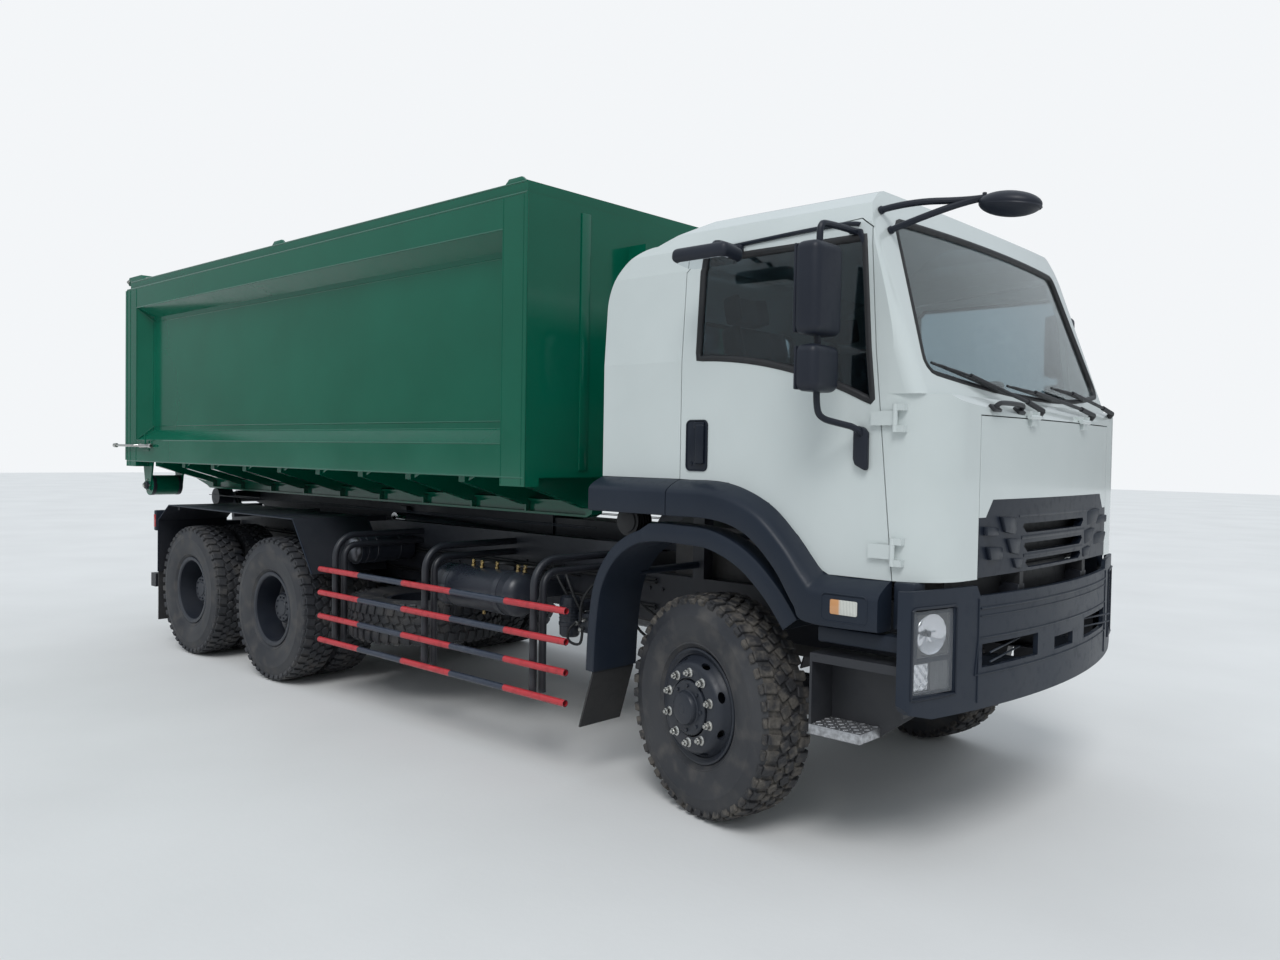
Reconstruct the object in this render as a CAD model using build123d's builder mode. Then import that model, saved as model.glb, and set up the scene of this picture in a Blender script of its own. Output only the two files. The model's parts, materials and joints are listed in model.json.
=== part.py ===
from build123d import *
import math
import os

os.makedirs("parts", exist_ok=True)

# All sizes are in millimetres: +X points forward, +Y to the truck's left, +Z up.
# The origin is on the ground below the middle of the truck's length.

# Running gear
front_axle_x = 2838
wheelbase = 4110
bogie_spacing = 1370
middle_axle_x = front_axle_x - wheelbase
rear_axle_x = middle_axle_x - bogie_spacing
bogie_x = (middle_axle_x + rear_axle_x) / 2
tyre_radius = 538
tyre_width = 293
hub_z = tyre_radius
rim_radius = 254
rim_half_width = 101
rim_wall = 10
rim_flange_height = 20
disc_offset = 165
disc_thickness = 14
disc_bore_radius = 141
disc_flat_radius = 200
drum_radius = 205
hub_radius = 130
hub_cap_radius = 85
front_track_y = 1030
kingpin_y = 870
dual_centre_y = 925
steer_rest = 13.7
spindle_radius = 45
fit_gap = 0.3
panel_gap = 5
moving_gap = 6

# Chassis frame
frame_half_width = 432.5
rail_height = 280
rail_flange = 80
rail_wall = 8
frame_top_z = 1040
frame_bottom_z = frame_top_z - rail_height
frame_front_x = front_axle_x + 1020
rear_overhang = 1705
frame_rear_x = bogie_x - rear_overhang
subframe_height = 160
subframe_width = 77
subframe_top_z = frame_top_z + subframe_height

# Cab
cab_rear_x = front_axle_x - 730
cab_side_y = 1135
cab_wall = 45
cab_nose_x = front_axle_x + 1196
cab_front_radius = 9000
cab_corner_radius = 250
cab_base_z = 1240
cowl_z = 2010
cowl_depth = 75
cowl_low_z = 1935
windscreen_lean = 0.357
pillar_corner_radius = 70
roof_z = 2970
side_half_width = 1242.5
roof_edge_steps = ((28, 2640), (45, 2745), (88, 2835), (160, 2892), (300, 2935), (560, 2975), (800, 2990))
glass_thickness = 6
glass_setback = 10

# Container, carried by the hook lift
container_front_x = front_axle_x - 1280
container_rear_x = front_axle_x - 6886
container_half_width = 1200
container_floor_z = 1600
container_side_top_z = 3180
container_roof_z = 3252
container_wall = 10
recess_depth = 110
gate_thickness = 80
beam_bottom_z = 1350
beam_height = 180
beam_half_spacing = 530
beam_flange = 90
hook_bar_z = 2920
hook_bar_radius = 30
hook_bar_reach = 100

# Hook lift
tip_pivot_x = front_axle_x - 6420
tip_roller_radius = 80
tip_pivot_z = beam_bottom_z - tip_roller_radius
boom_half_width = 160
boom_height = 180
boom_wall = 12
boom_bottom_z = subframe_top_z - 70
jib_front_x = cab_rear_x - 220
jib_column_depth = 150
jib_stroke = 900
jib_gusset = 160
cylinder_y = 250
cylinder_radius = 65
rod_radius = 38
cylinder_base_x = front_axle_x - 2000
cylinder_base_z = 1112
rod_eye_x = front_axle_x - 3900
rod_eye_z = 1190

RIGHT = -1
LEFT = 1
sides = (("right", RIGHT), ("left", LEFT))


def block(x, y, z, mode=Mode.ADD):
    """A block between two corners: each argument is the pair (low, high)."""
    with Locations(((x[0] + x[1]) / 2, (y[0] + y[1]) / 2, (z[0] + z[1]) / 2)):
        Box(x[1] - x[0], y[1] - y[0], z[1] - z[0], mode=mode)


def span(side, inner, outer):
    """The pair (low, high) in Y of a piece that lies between two distances from the centre line."""
    return (inner, outer) if side == LEFT else (-outer, -inner)


def bar(start, end, radius, mode=Mode.ADD):
    """A round bar between two points."""
    path = Vector(*end) - Vector(*start)
    with BuildSketch(Plane(origin=start, z_dir=path)) as section:
        Circle(radius)
    extrude(section.sketch, amount=path.length, mode=mode)


def profile_along_y(points, y, mode=Mode.ADD):
    """A straight-sided outline of (x, z) points, extruded between two places in Y."""
    with BuildSketch(Plane.XZ.offset(-y[0])) as section:
        with BuildLine():
            Polyline(*points, close=True)
        make_face()
    extrude(section.sketch, amount=y[0] - y[1], mode=mode)


def profile_along_x(points, x, mode=Mode.ADD):
    """A straight-sided outline of (y, z) points, extruded between two places in X."""
    with BuildSketch(Plane.YZ.offset(x[0])) as section:
        with BuildLine():
            Polyline(*points, close=True)
        make_face()
    extrude(section.sketch, amount=x[1] - x[0], mode=mode)


def folded_sheet(points, thickness):
    """The closed outline of a folded sheet whose bends lie at the points, thickened to their left."""
    normals = []
    for start, end in zip(points, points[1:]):
        run = Vector(end[0] - start[0], end[1] - start[1]).normalized()
        normals.append(Vector(-run.Y, run.X))
    back = []
    for place, point in enumerate(points):
        before = normals[max(place - 1, 0)]
        after = normals[min(place, len(normals) - 1)]
        mitre = (before + after) * (thickness / (1 + before.dot(after)))
        back.append((point[0] + mitre.X, point[1] + mitre.Y))
    return list(points) + back[::-1]


def rounded_block(x, y, z, radius):
    """A block with all its edges rounded."""
    with BuildPart() as piece:
        block(x, y, z)
        fillet(piece.edges(), radius)
    return piece.part


def wheel_section_plane(centre, outward):
    """A plane through a wheel's axis: its x runs outward along the axle and its y upward."""
    return Plane(origin=centre, x_dir=outward, z_dir=Vector(*outward).cross(Vector(0, 0, 1)))


def add_tyre(centre, outward):
    """One tyre about the axle line."""
    shoulder = tyre_width / 2 - 24
    tread_edge = tyre_width / 2 - 46
    with BuildSketch(wheel_section_plane(centre, outward)) as section:
        with BuildLine():
            Line((-rim_half_width, rim_radius), (rim_half_width, rim_radius))
            Line((rim_half_width, rim_radius), (rim_half_width, rim_radius + rim_flange_height))
            ThreePointArc((rim_half_width, rim_radius + rim_flange_height),
                          (tyre_width / 2, (rim_radius + tyre_radius) / 2),
                          (shoulder, tyre_radius - 32))
            Line((shoulder, tyre_radius - 32), (tread_edge, tyre_radius - 4))
            ThreePointArc((tread_edge, tyre_radius - 4), (0, tyre_radius), (-tread_edge, tyre_radius - 4))
            Line((-tread_edge, tyre_radius - 4), (-shoulder, tyre_radius - 32))
            ThreePointArc((-shoulder, tyre_radius - 32),
                          (-tyre_width / 2, (rim_radius + tyre_radius) / 2),
                          (-rim_half_width, rim_radius + rim_flange_height))
            Line((-rim_half_width, rim_radius + rim_flange_height), (-rim_half_width, rim_radius))
        make_face()
    revolve(section.sketch, axis=Axis(centre, outward))


def add_rim(centre, outward, dish):
    """One rim with its dished disc: dish is 1 with the disc outboard and -1 with it inboard."""
    barrel_inner = rim_radius - rim_wall
    edge = rim_half_width + rim_wall
    flange_top = rim_radius + rim_flange_height
    face = disc_offset * dish
    back = (disc_offset - disc_thickness) * dish
    foot = (rim_half_width - disc_thickness) * dish
    with BuildSketch(wheel_section_plane(centre, outward)) as section:
        with BuildLine():
            Polyline((-edge, barrel_inner), (edge, barrel_inner), (edge, flange_top),
                     (rim_half_width, flange_top), (rim_half_width, rim_radius),
                     (-rim_half_width, rim_radius), (-rim_half_width, flange_top),
                     (-edge, flange_top), close=True)
        make_face()
        with BuildLine():
            Polyline((face, disc_bore_radius), (face, disc_flat_radius),
                     (foot + disc_thickness * dish, barrel_inner + 2),
                     (foot - disc_thickness * dish, barrel_inner + 2),
                     (back, disc_flat_radius - 6), (back, disc_bore_radius), close=True)
        make_face()
    revolve(section.sketch, axis=Axis(centre, outward))


def add_turned(centre, outward, points, mode=Mode.ADD):
    """A turned piece about the axle line, from (outward, radius) points."""
    with BuildSketch(wheel_section_plane(centre, outward)) as section:
        with BuildLine():
            Polyline(*points, close=True)
        make_face()
    revolve(section.sketch, axis=Axis(centre, outward), mode=mode)


# Front wheels, turned to the right by the resting steer angle about each kingpin
steer = math.radians(steer_rest)
hub_inner = -45
hub_outer = disc_offset - disc_thickness
hub_cap_outer = 215
for side_name, side in sides:
    kingpin = (front_axle_x, side * kingpin_y, hub_z)
    outward = (side * math.sin(steer), side * math.cos(steer), 0)
    wheel_centre = tuple(Vector(*kingpin) + Vector(*outward) * (front_track_y - kingpin_y))

    with BuildPart() as front_tyre:
        add_tyre(wheel_centre, outward)
    front_tyre.part.label = "front_tyre_" + side_name
    export_step(front_tyre.part, "parts/front_tyre_" + side_name + ".step")

    with BuildPart() as front_rim:
        add_rim(wheel_centre, outward, 1)
        add_turned(wheel_centre, outward,
                   [(hub_inner, spindle_radius + fit_gap), (hub_inner, drum_radius),
                    (hub_outer - 60, drum_radius), (hub_outer - 60, hub_radius + 20),
                    (hub_outer, hub_radius + 30), (hub_outer, hub_radius),
                    (disc_offset + 18, hub_radius), (disc_offset + 30, hub_cap_radius),
                    (hub_cap_outer - 10, hub_cap_radius), (hub_cap_outer, hub_cap_radius - 10),
                    (hub_cap_outer, 0), (hub_outer + fit_gap, 0),
                    (hub_outer + fit_gap, spindle_radius + fit_gap)])
        add_turned(wheel_centre, outward,
                   [(hub_outer - 12, hub_radius), (hub_outer - 12, disc_flat_radius - 8),
                    (hub_outer, disc_flat_radius - 8), (hub_outer, hub_radius)])
    front_rim.part.label = "front_rim_" + side_name
    export_step(front_rim.part, "parts/front_rim_" + side_name + ".step")

    # The knuckle: a fork over the beam's eye, the spindle, and the steering arm behind it
    eye_radius = 50
    eye_half_height = 62
    fork_thickness = 38
    fork_outer = 100
    with BuildPart() as knuckle:
        fork_plane = Plane(origin=kingpin, x_dir=outward, z_dir=(0, 0, 1))
        for low in (eye_half_height + fit_gap, -eye_half_height - fit_gap - fork_thickness):
            with BuildSketch(fork_plane.offset(low)):
                Circle(eye_radius)
                with Locations((fork_outer / 2, 0)):
                    Rectangle(fork_outer, 2 * eye_radius)
            extrude(amount=fork_thickness)
        with BuildSketch(fork_plane.offset(-eye_half_height - 10)):
            with Locations(((eye_radius + moving_gap + fork_outer) / 2, 0)):
                Rectangle(fork_outer - eye_radius - moving_gap, 2 * eye_radius)
        extrude(amount=2 * eye_half_height + 20)
        spindle_start = tuple(Vector(*kingpin) + Vector(*outward) * (fork_outer - 20))
        spindle_end = tuple(Vector(*wheel_centre) + Vector(*outward) * (hub_outer - 1))
        bar(spindle_start, spindle_end, spindle_radius)
        with BuildSketch(fork_plane.offset(-eye_half_height - fork_thickness)):
            with Locations((-70, side * 90)):
                Rectangle(45, 260)
            with Locations((-25, 0)):
                Rectangle(120, 60)
        extrude(amount=fork_thickness - 6)
    knuckle.part.label = "knuckle_" + side_name
    export_step(knuckle.part, "parts/knuckle_" + side_name + ".step")

# Twin rear wheels: both rims of a pair meet at their discs on the hub
rear_axles = (("middle", middle_axle_x), ("rear", rear_axle_x))
rear_hub_inner = 640
rear_hub_outer = 1130
rear_spindle_radius = 55
rear_spindle_end = 880
for axle_name, axle_x in rear_axles:
    for side_name, side in sides:
        outward = (0, side, 0)
        outer_centre = (axle_x, side * (dual_centre_y + disc_offset), hub_z)
        inner_centre = (axle_x, side * (dual_centre_y - disc_offset), hub_z)

        with BuildPart() as rear_tyres:
            add_tyre(outer_centre, outward)
            add_tyre(inner_centre, outward)
        rear_tyres.part.label = axle_name + "_tyres_" + side_name
        export_step(rear_tyres.part, "parts/" + axle_name + "_tyres_" + side_name + ".step")

        with BuildPart() as rear_rims:
            add_rim(outer_centre, outward, -1)
            add_rim(inner_centre, outward, 1)
            disc_inner_y = dual_centre_y - disc_thickness
            bore = rear_spindle_radius + fit_gap
            add_turned((axle_x, 0, hub_z), outward,
                       [(rear_hub_inner, bore), (rear_hub_inner, drum_radius), (disc_inner_y, drum_radius - 10),
                        (disc_inner_y, hub_radius), (rear_hub_outer - 20, hub_radius - 6),
                        (rear_hub_outer, hub_radius - 26), (rear_hub_outer, 0),
                        (rear_spindle_end + fit_gap, 0), (rear_spindle_end + fit_gap, bore)])
        rear_rims.part.label = axle_name + "_rims_" + side_name
        export_step(rear_rims.part, "parts/" + axle_name + "_rims_" + side_name + ".step")

# Front axle: a dropped beam with an eye at each kingpin, on two leaf springs
beam_drop = 80
beam_half_width = 45
beam_height = 95
spring_y = 405
spring_half_width = 38
spring_half_length = 760
spring_eye_z = 640
spring_seat_z = hub_z - beam_drop + beam_height / 2
leaf_thickness = 24
kingpin_radius = 22
with BuildPart() as front_axle:
    eye_bottom = hub_z - eye_half_height
    low = hub_z - beam_drop - beam_height / 2
    neck_y = kingpin_y - 110
    drop_y = kingpin_y - 260
    beam_outline = [(neck_y, hub_z - 45), (kingpin_y, hub_z - 45), (kingpin_y, hub_z + 45), (neck_y, hub_z + 45),
                    (drop_y - 20, low + beam_height)]
    profile_along_x([(drop_y, low)] + beam_outline + [(-y, z) for y, z in beam_outline[::-1]] + [(-drop_y, low)],
                    (front_axle_x - beam_half_width + 10, front_axle_x + beam_half_width - 10))
    for side in (RIGHT, LEFT):
        bar((front_axle_x, side * kingpin_y, eye_bottom), (front_axle_x, side * kingpin_y, hub_z + eye_half_height),
            eye_radius)
        # Leaf spring as one arched pack, hung from the frame by its end brackets
        with BuildSketch(Plane.XZ.offset(-side * spring_y)) as pack:
            with BuildLine():
                ends = [(front_axle_x + spring_half_length, spring_eye_z),
                        (front_axle_x - spring_half_length, spring_eye_z)]
                seat = (front_axle_x, spring_seat_z + fit_gap)
                ThreePointArc(ends[0], seat, ends[1])
                Line(ends[1], (ends[1][0], spring_eye_z + leaf_thickness))
                ThreePointArc((ends[1][0], spring_eye_z + leaf_thickness), (front_axle_x, seat[1] + 4 * leaf_thickness),
                              (ends[0][0], spring_eye_z + leaf_thickness))
                Line((ends[0][0], spring_eye_z + leaf_thickness), ends[0])
            make_face()
        extrude(pack.sketch, amount=spring_half_width, both=True)
        for end_x in (front_axle_x - spring_half_length, front_axle_x + spring_half_length):
            profile_along_y([(end_x - 45, spring_eye_z), (end_x + 45, spring_eye_z),
                             (end_x + 70, frame_bottom_z), (end_x - 70, frame_bottom_z)],
                            (side * spring_y - spring_half_width, side * spring_y + spring_half_width))
front_axle.part.label = "front_axle"
export_step(front_axle.part, "parts/front_axle.step")

# Driven rear axles: banjo housings with their tubes and spindles, below a bogie spring each side
banjo_radius = 215
banjo_half_length = 120
axle_tube_radius = 70
bogie_spring_y = 520
bogie_spring_half_width = 42
bogie_spring_z = hub_z + axle_tube_radius + 60
trunnion_radius = 60
with BuildPart() as rear_axle_housings:
    for axle_name, axle_x in rear_axles:
        with BuildSketch(Plane.YZ.offset(axle_x - banjo_half_length)):
            with Locations((0, hub_z)):
                Circle(banjo_radius)
        extrude(amount=2 * banjo_half_length)
        bar((axle_x, -rear_hub_inner + 10, hub_z), (axle_x, rear_hub_inner - 10, hub_z), axle_tube_radius)
        bar((axle_x, -rear_spindle_end, hub_z), (axle_x, rear_spindle_end, hub_z), rear_spindle_radius)
        for side in (RIGHT, LEFT):
            block((axle_x - 80, axle_x + 80), span(side, bogie_spring_y - 60, bogie_spring_y + 60),
                  (hub_z, bogie_spring_z))
rear_axle_housings.part.label = "rear_axle_housings"
export_step(rear_axle_housings.part, "parts/rear_axle_housings.step")

with BuildPart() as bogie_suspension:
    for side in (RIGHT, LEFT):
        reach = bogie_spacing / 2 + 90
        with BuildSketch(Plane.XZ.offset(-side * bogie_spring_y)):
            with BuildLine():
                low_end = (bogie_x + reach, bogie_spring_z + fit_gap)
                far_end = (bogie_x - reach, bogie_spring_z + fit_gap)
                ThreePointArc(low_end, (bogie_x, bogie_spring_z + 70), far_end)
                Line(far_end, (far_end[0], far_end[1] + leaf_thickness))
                ThreePointArc((far_end[0], far_end[1] + leaf_thickness), (bogie_x, bogie_spring_z + 70 + 7 * leaf_thickness),
                              (low_end[0], low_end[1] + leaf_thickness))
                Line((low_end[0], low_end[1] + leaf_thickness), low_end)
            make_face()
        extrude(amount=bogie_spring_half_width, both=True)
        profile_along_y([(bogie_x - 190, frame_bottom_z + 120), (bogie_x + 190, frame_bottom_z + 120),
                         (bogie_x + 90, hub_z - 60), (bogie_x - 90, hub_z - 60)],
                        span(side, frame_half_width + fit_gap, bogie_spring_y - bogie_spring_half_width))
        bar((bogie_x, side * (frame_half_width + 20), hub_z), (bogie_x, side * (bogie_spring_y + 60), hub_z),
            trunnion_radius)
        profile_along_y([(bogie_x - 70, hub_z), (bogie_x + 70, hub_z), (bogie_x + 110, bogie_spring_z + 80),
                         (bogie_x - 110, bogie_spring_z + 80)],
                        span(side, bogie_spring_y - bogie_spring_half_width, bogie_spring_y + bogie_spring_half_width))
bogie_suspension.part.label = "bogie_suspension"
export_step(bogie_suspension.part, "parts/bogie_suspension.step")

# Chassis frame: two channel rails joined by cross members, with the cab's front hinge brackets
cab_hinge_x = front_axle_x + 1160
cab_hinge_z = 1170
cab_hinge_y = 400
cab_hinge_pin = 22
hinge_ear = 16
hinge_lug_width = 40
# Cross members: the first two from the front axle, the others from the bogie's middle
cross_members_x = [front_axle_x + station for station in (960, -1830)]
cross_members_x += [bogie_x + station for station in (1895, 1295, -1155, -1645)]
cab_support_x = cab_rear_x + 100
cab_rear_floor_z = 1625
underrun_x = frame_rear_x + 100
underrun_half_width = 1150
underrun_z = (470, 590)
with BuildPart() as chassis_frame:
    for side in (RIGHT, LEFT):
        edge = frame_half_width
        profile_along_x([(side * edge, frame_bottom_z), (side * edge, frame_top_z),
                         (side * (edge - rail_flange), frame_top_z),
                         (side * (edge - rail_flange), frame_top_z - rail_wall),
                         (side * (edge - rail_wall), frame_top_z - rail_wall),
                         (side * (edge - rail_wall), frame_bottom_z + rail_wall),
                         (side * (edge - rail_flange), frame_bottom_z + rail_wall),
                         (side * (edge - rail_flange), frame_bottom_z)],
                        (frame_rear_x, frame_front_x))
        # Hinge bracket: two ears round the cab's lug, on the rail's front end
        for ear_y in (cab_hinge_y - hinge_lug_width / 2 - fit_gap - hinge_ear, cab_hinge_y + hinge_lug_width / 2 + fit_gap):
            profile_along_y([(frame_front_x - 160, frame_top_z - 120), (frame_front_x + 60, frame_top_z - 120),
                             (cab_hinge_x + 30, cab_hinge_z - 40), (cab_hinge_x + 30, cab_hinge_z + 20),
                             (cab_hinge_x - 30, cab_hinge_z + 30), (frame_front_x - 60, frame_top_z + 20),
                             (frame_front_x - 160, frame_top_z)],
                            span(side, ear_y, ear_y + hinge_ear))
        bar((cab_hinge_x, side * (cab_hinge_y - hinge_lug_width / 2 - hinge_ear), cab_hinge_z),
            (cab_hinge_x, side * (cab_hinge_y + hinge_lug_width / 2 + hinge_ear), cab_hinge_z), cab_hinge_pin)
        # Post of the rear cab support
        block((cab_support_x - 40, cab_support_x + 40), span(side, frame_half_width - 60, frame_half_width + 20),
              (frame_top_z, cab_rear_floor_z - 80))
    block((cab_support_x - 40, cab_support_x + 40), (-frame_half_width - 20, frame_half_width + 20),
          (cab_rear_floor_z - 80, cab_rear_floor_z - fit_gap))
    for x in cross_members_x:
        reach = frame_half_width - rail_wall
        block((x - 40, x + 40), (-reach, reach), (frame_top_z - 150, frame_top_z - 140))
        block((x - 40, x + 40), (-reach, reach), (frame_top_z - 24, frame_top_z - 14))
        block((x - 5, x + 5), (-reach, reach), (frame_top_z - 145, frame_top_z - 20))
    # Rear underrun bar on two straps
    block((underrun_x - 50, underrun_x + 50), (-underrun_half_width, underrun_half_width), underrun_z)
    for side in (RIGHT, LEFT):
        block((underrun_x - 45, underrun_x + 45), span(side, frame_half_width - 4, frame_half_width + 12),
              (underrun_z[0], frame_top_z - 60))
chassis_frame.part.label = "chassis_frame"
export_step(chassis_frame.part, "parts/chassis_frame.step")

# Engine, gearbox and radiator as plain masses, with the shafts to the driven axles
engine_front_x = front_axle_x + 250
engine_length = 1150
engine_half_width = 330
gearbox_length = 800
shaft_radius = 50
shaft_z = 800
radiator_depth = 110
radiator_half_width = 340
radiator_bottom_z = 640
radiator_top_z = 1190
radiator_x = engine_front_x + 330 + fit_gap
with BuildPart() as powertrain:
    engine_rear_x = engine_front_x - engine_length
    profile_along_x([(-180, 640), (180, 640), (engine_half_width, 900), (engine_half_width, 1330), (200, 1400),
                     (-200, 1400), (-engine_half_width, 1330), (-engine_half_width, 900)],
                    (engine_rear_x, engine_front_x))
    with BuildSketch(Plane.YZ.offset(engine_rear_x - gearbox_length)) as small_end:
        with Locations((0, shaft_z)):
            Circle(120)
    with BuildSketch(Plane.YZ.offset(engine_rear_x)) as large_end:
        with Locations((0, shaft_z + 40)):
            Circle(230)
    loft([small_end.sketch, large_end.sketch])
    flange_x = middle_axle_x + banjo_half_length + fit_gap
    flange_z = hub_z + 90
    bar((flange_x, 0, flange_z), (flange_x + 60, 0, flange_z), shaft_radius + 20)
    bar((engine_rear_x - gearbox_length, 0, shaft_z), (flange_x + 30, 0, flange_z), shaft_radius)
    bar((middle_axle_x - banjo_half_length - fit_gap, 0, hub_z), (rear_axle_x + banjo_half_length + fit_gap, 0, hub_z),
        shaft_radius)
    bar((engine_front_x, 0, 1000), (engine_front_x + 330, 0, 1000), 60)
    # Radiator on the rails ahead of the engine
    block((radiator_x, radiator_x + radiator_depth), (-radiator_half_width, radiator_half_width),
          (radiator_bottom_z, radiator_top_z))
    for side in (RIGHT, LEFT):
        block((radiator_x, radiator_x + radiator_depth), span(side, radiator_half_width, frame_half_width - rail_wall - fit_gap),
              (frame_bottom_z + rail_wall + fit_gap, frame_bottom_z + 80))
powertrain.part.label = "powertrain"
export_step(powertrain.part, "parts/powertrain.step")

# Hook lift's subframe on the rails: side tubes, cross members, the cylinders' lower ears and the tail rollers
subframe_front_x = front_axle_x - 1150
subframe_inner = frame_half_width - subframe_width
subframe_cross_stations = (-1290, -1895, -4700, -5650)
tail_ear = 22
tip_shaft_radius = 25
tail_roller_width = 90
base_ear_gap = 35
with BuildPart() as hook_subframe:
    for side in (RIGHT, LEFT):
        block((frame_rear_x + 120, subframe_front_x), span(side, subframe_inner, frame_half_width),
              (frame_top_z, subframe_top_z))
        # Ear plates that carry the tail roller's shaft
        for ear_y in (subframe_inner + 20, frame_half_width - tail_ear):
            profile_along_y([(tip_pivot_x + 170, subframe_top_z - 40), (tip_pivot_x - 60, subframe_top_z - 40),
                             (tip_pivot_x - 45, tip_pivot_z + 20), (tip_pivot_x, tip_pivot_z + 45),
                             (tip_pivot_x + 45, tip_pivot_z + 20)],
                            span(side, ear_y, ear_y + tail_ear))
        bar((tip_pivot_x, side * (subframe_inner + 19), tip_pivot_z),
            (tip_pivot_x, side * (subframe_inner + 21 + tail_ear), tip_pivot_z), tip_shaft_radius + fit_gap,
            mode=Mode.SUBTRACT)
        # Lower ears of the lift cylinder
        for ear_y in (cylinder_y - base_ear_gap - 16, cylinder_y + base_ear_gap):
            profile_along_y([(cylinder_base_x + 90, frame_top_z), (cylinder_base_x - 40, frame_top_z),
                             (cylinder_base_x - 45, cylinder_base_z + 40), (cylinder_base_x + 45, cylinder_base_z + 40)],
                            span(side, ear_y, ear_y + 16))
        bar((cylinder_base_x, side * (cylinder_y - base_ear_gap), cylinder_base_z),
            (cylinder_base_x, side * (cylinder_y + base_ear_gap), cylinder_base_z), 25)
    for station in subframe_cross_stations:
        x = front_axle_x + station
        block((x - 50, x + 50), (-subframe_inner, subframe_inner), (frame_top_z, boom_bottom_z - moving_gap))
    # Tail rollers under the container's beams
    for side in (RIGHT, LEFT):
        bar((tip_pivot_x, side * (frame_half_width + fit_gap), tip_pivot_z),
            (tip_pivot_x, side * (beam_half_spacing + beam_flange / 2), tip_pivot_z), tip_roller_radius - fit_gap)
hook_subframe.part.label = "hook_subframe"
export_step(hook_subframe.part, "parts/hook_subframe.step")

# Tipping frame: the boom between the subframe's tubes, its tail hinge and the ears for the cylinder rods
boom_front_x = jib_front_x - jib_column_depth - jib_gusset - jib_stroke - moving_gap
boom_top_z = boom_bottom_z + boom_height
boom_rear_x = tip_pivot_x + 260
tail_hub_half_width = subframe_inner + 20 - moving_gap
rod_ear_depth = 44
with BuildPart() as tipping_frame:
    block((boom_rear_x, boom_front_x), (-boom_half_width, boom_half_width), (boom_bottom_z, boom_top_z))
    block((boom_rear_x + 200, boom_front_x), (-boom_half_width + boom_wall, boom_half_width - boom_wall),
          (boom_bottom_z + boom_wall, boom_top_z - boom_wall), mode=Mode.SUBTRACT)
    for side in (RIGHT, LEFT):
        profile_along_y([(boom_rear_x + 140, boom_bottom_z), (boom_rear_x + 140, boom_top_z),
                         (tip_pivot_x + 30, tip_pivot_z + 55), (tip_pivot_x - 30, tip_pivot_z + 55),
                         (tip_pivot_x - 60, tip_pivot_z), (tip_pivot_x - 30, tip_pivot_z - 55)],
                        span(side, boom_half_width - 30, boom_half_width))
        profile_along_y([(rod_eye_x - 80, boom_bottom_z + 20), (rod_eye_x + 80, boom_bottom_z + 20),
                         (rod_eye_x + 50, boom_top_z - 20), (rod_eye_x - 50, boom_top_z - 20)],
                        span(side, boom_half_width, boom_half_width + rod_ear_depth))
    bar((tip_pivot_x, -tail_hub_half_width, tip_pivot_z), (tip_pivot_x, tail_hub_half_width, tip_pivot_z), 55)
    shaft_end = subframe_inner + 20 + tail_ear
    bar((tip_pivot_x, -shaft_end, tip_pivot_z), (tip_pivot_x, shaft_end, tip_pivot_z), tip_shaft_radius)
tipping_frame.part.label = "tipping_frame"
export_step(tipping_frame.part, "parts/tipping_frame.step")

# Hook jib: the tube that slides in the boom, the column and the hook under the container's bar
jib_gap = 5
jib_half_width = boom_half_width - boom_wall - jib_gap
jib_bottom_z = boom_bottom_z + boom_wall + jib_gap
jib_top_z = boom_top_z - boom_wall - jib_gap
jib_overlap = 1500
hook_bar_x = container_front_x + hook_bar_reach
hook_outer_radius = 72
hook_half_thickness = 40
column_half_width = 110
with BuildPart() as hook_jib:
    column_rear_x = jib_front_x - jib_column_depth
    block((boom_front_x - jib_overlap, jib_front_x), (-jib_half_width, jib_half_width), (jib_bottom_z, jib_top_z))
    profile_along_y([(column_rear_x - jib_gusset, jib_top_z), (column_rear_x, jib_top_z + 220),
                     (column_rear_x + 20, hook_bar_z - 230), (jib_front_x - 10, hook_bar_z - 60),
                     (jib_front_x, hook_bar_z - 150), (jib_front_x, jib_top_z)],
                    (-column_half_width, column_half_width))
    with BuildSketch(Plane.XZ) as hook_profile:
        with Locations((hook_bar_x, hook_bar_z)):
            Circle(hook_outer_radius)
        with BuildLine():
            Polyline((hook_bar_x, hook_bar_z - hook_outer_radius), (column_rear_x + 40, hook_bar_z - 230),
                     (jib_front_x - 10, hook_bar_z - 230), (jib_front_x - 10, hook_bar_z - 60),
                     (hook_bar_x + hook_outer_radius, hook_bar_z + 60), (hook_bar_x, hook_bar_z), close=True)
        make_face()
        with Locations((hook_bar_x, hook_bar_z)):
            Circle(hook_bar_radius + fit_gap, mode=Mode.SUBTRACT)
        with Locations((hook_bar_x, hook_bar_z + hook_outer_radius)):
            Rectangle(2 * (hook_bar_radius + fit_gap), 2 * hook_outer_radius, mode=Mode.SUBTRACT)
    extrude(hook_profile.sketch, amount=hook_half_thickness, both=True)
hook_jib.part.label = "hook_jib"
export_step(hook_jib.part, "parts/hook_jib.step")

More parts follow.
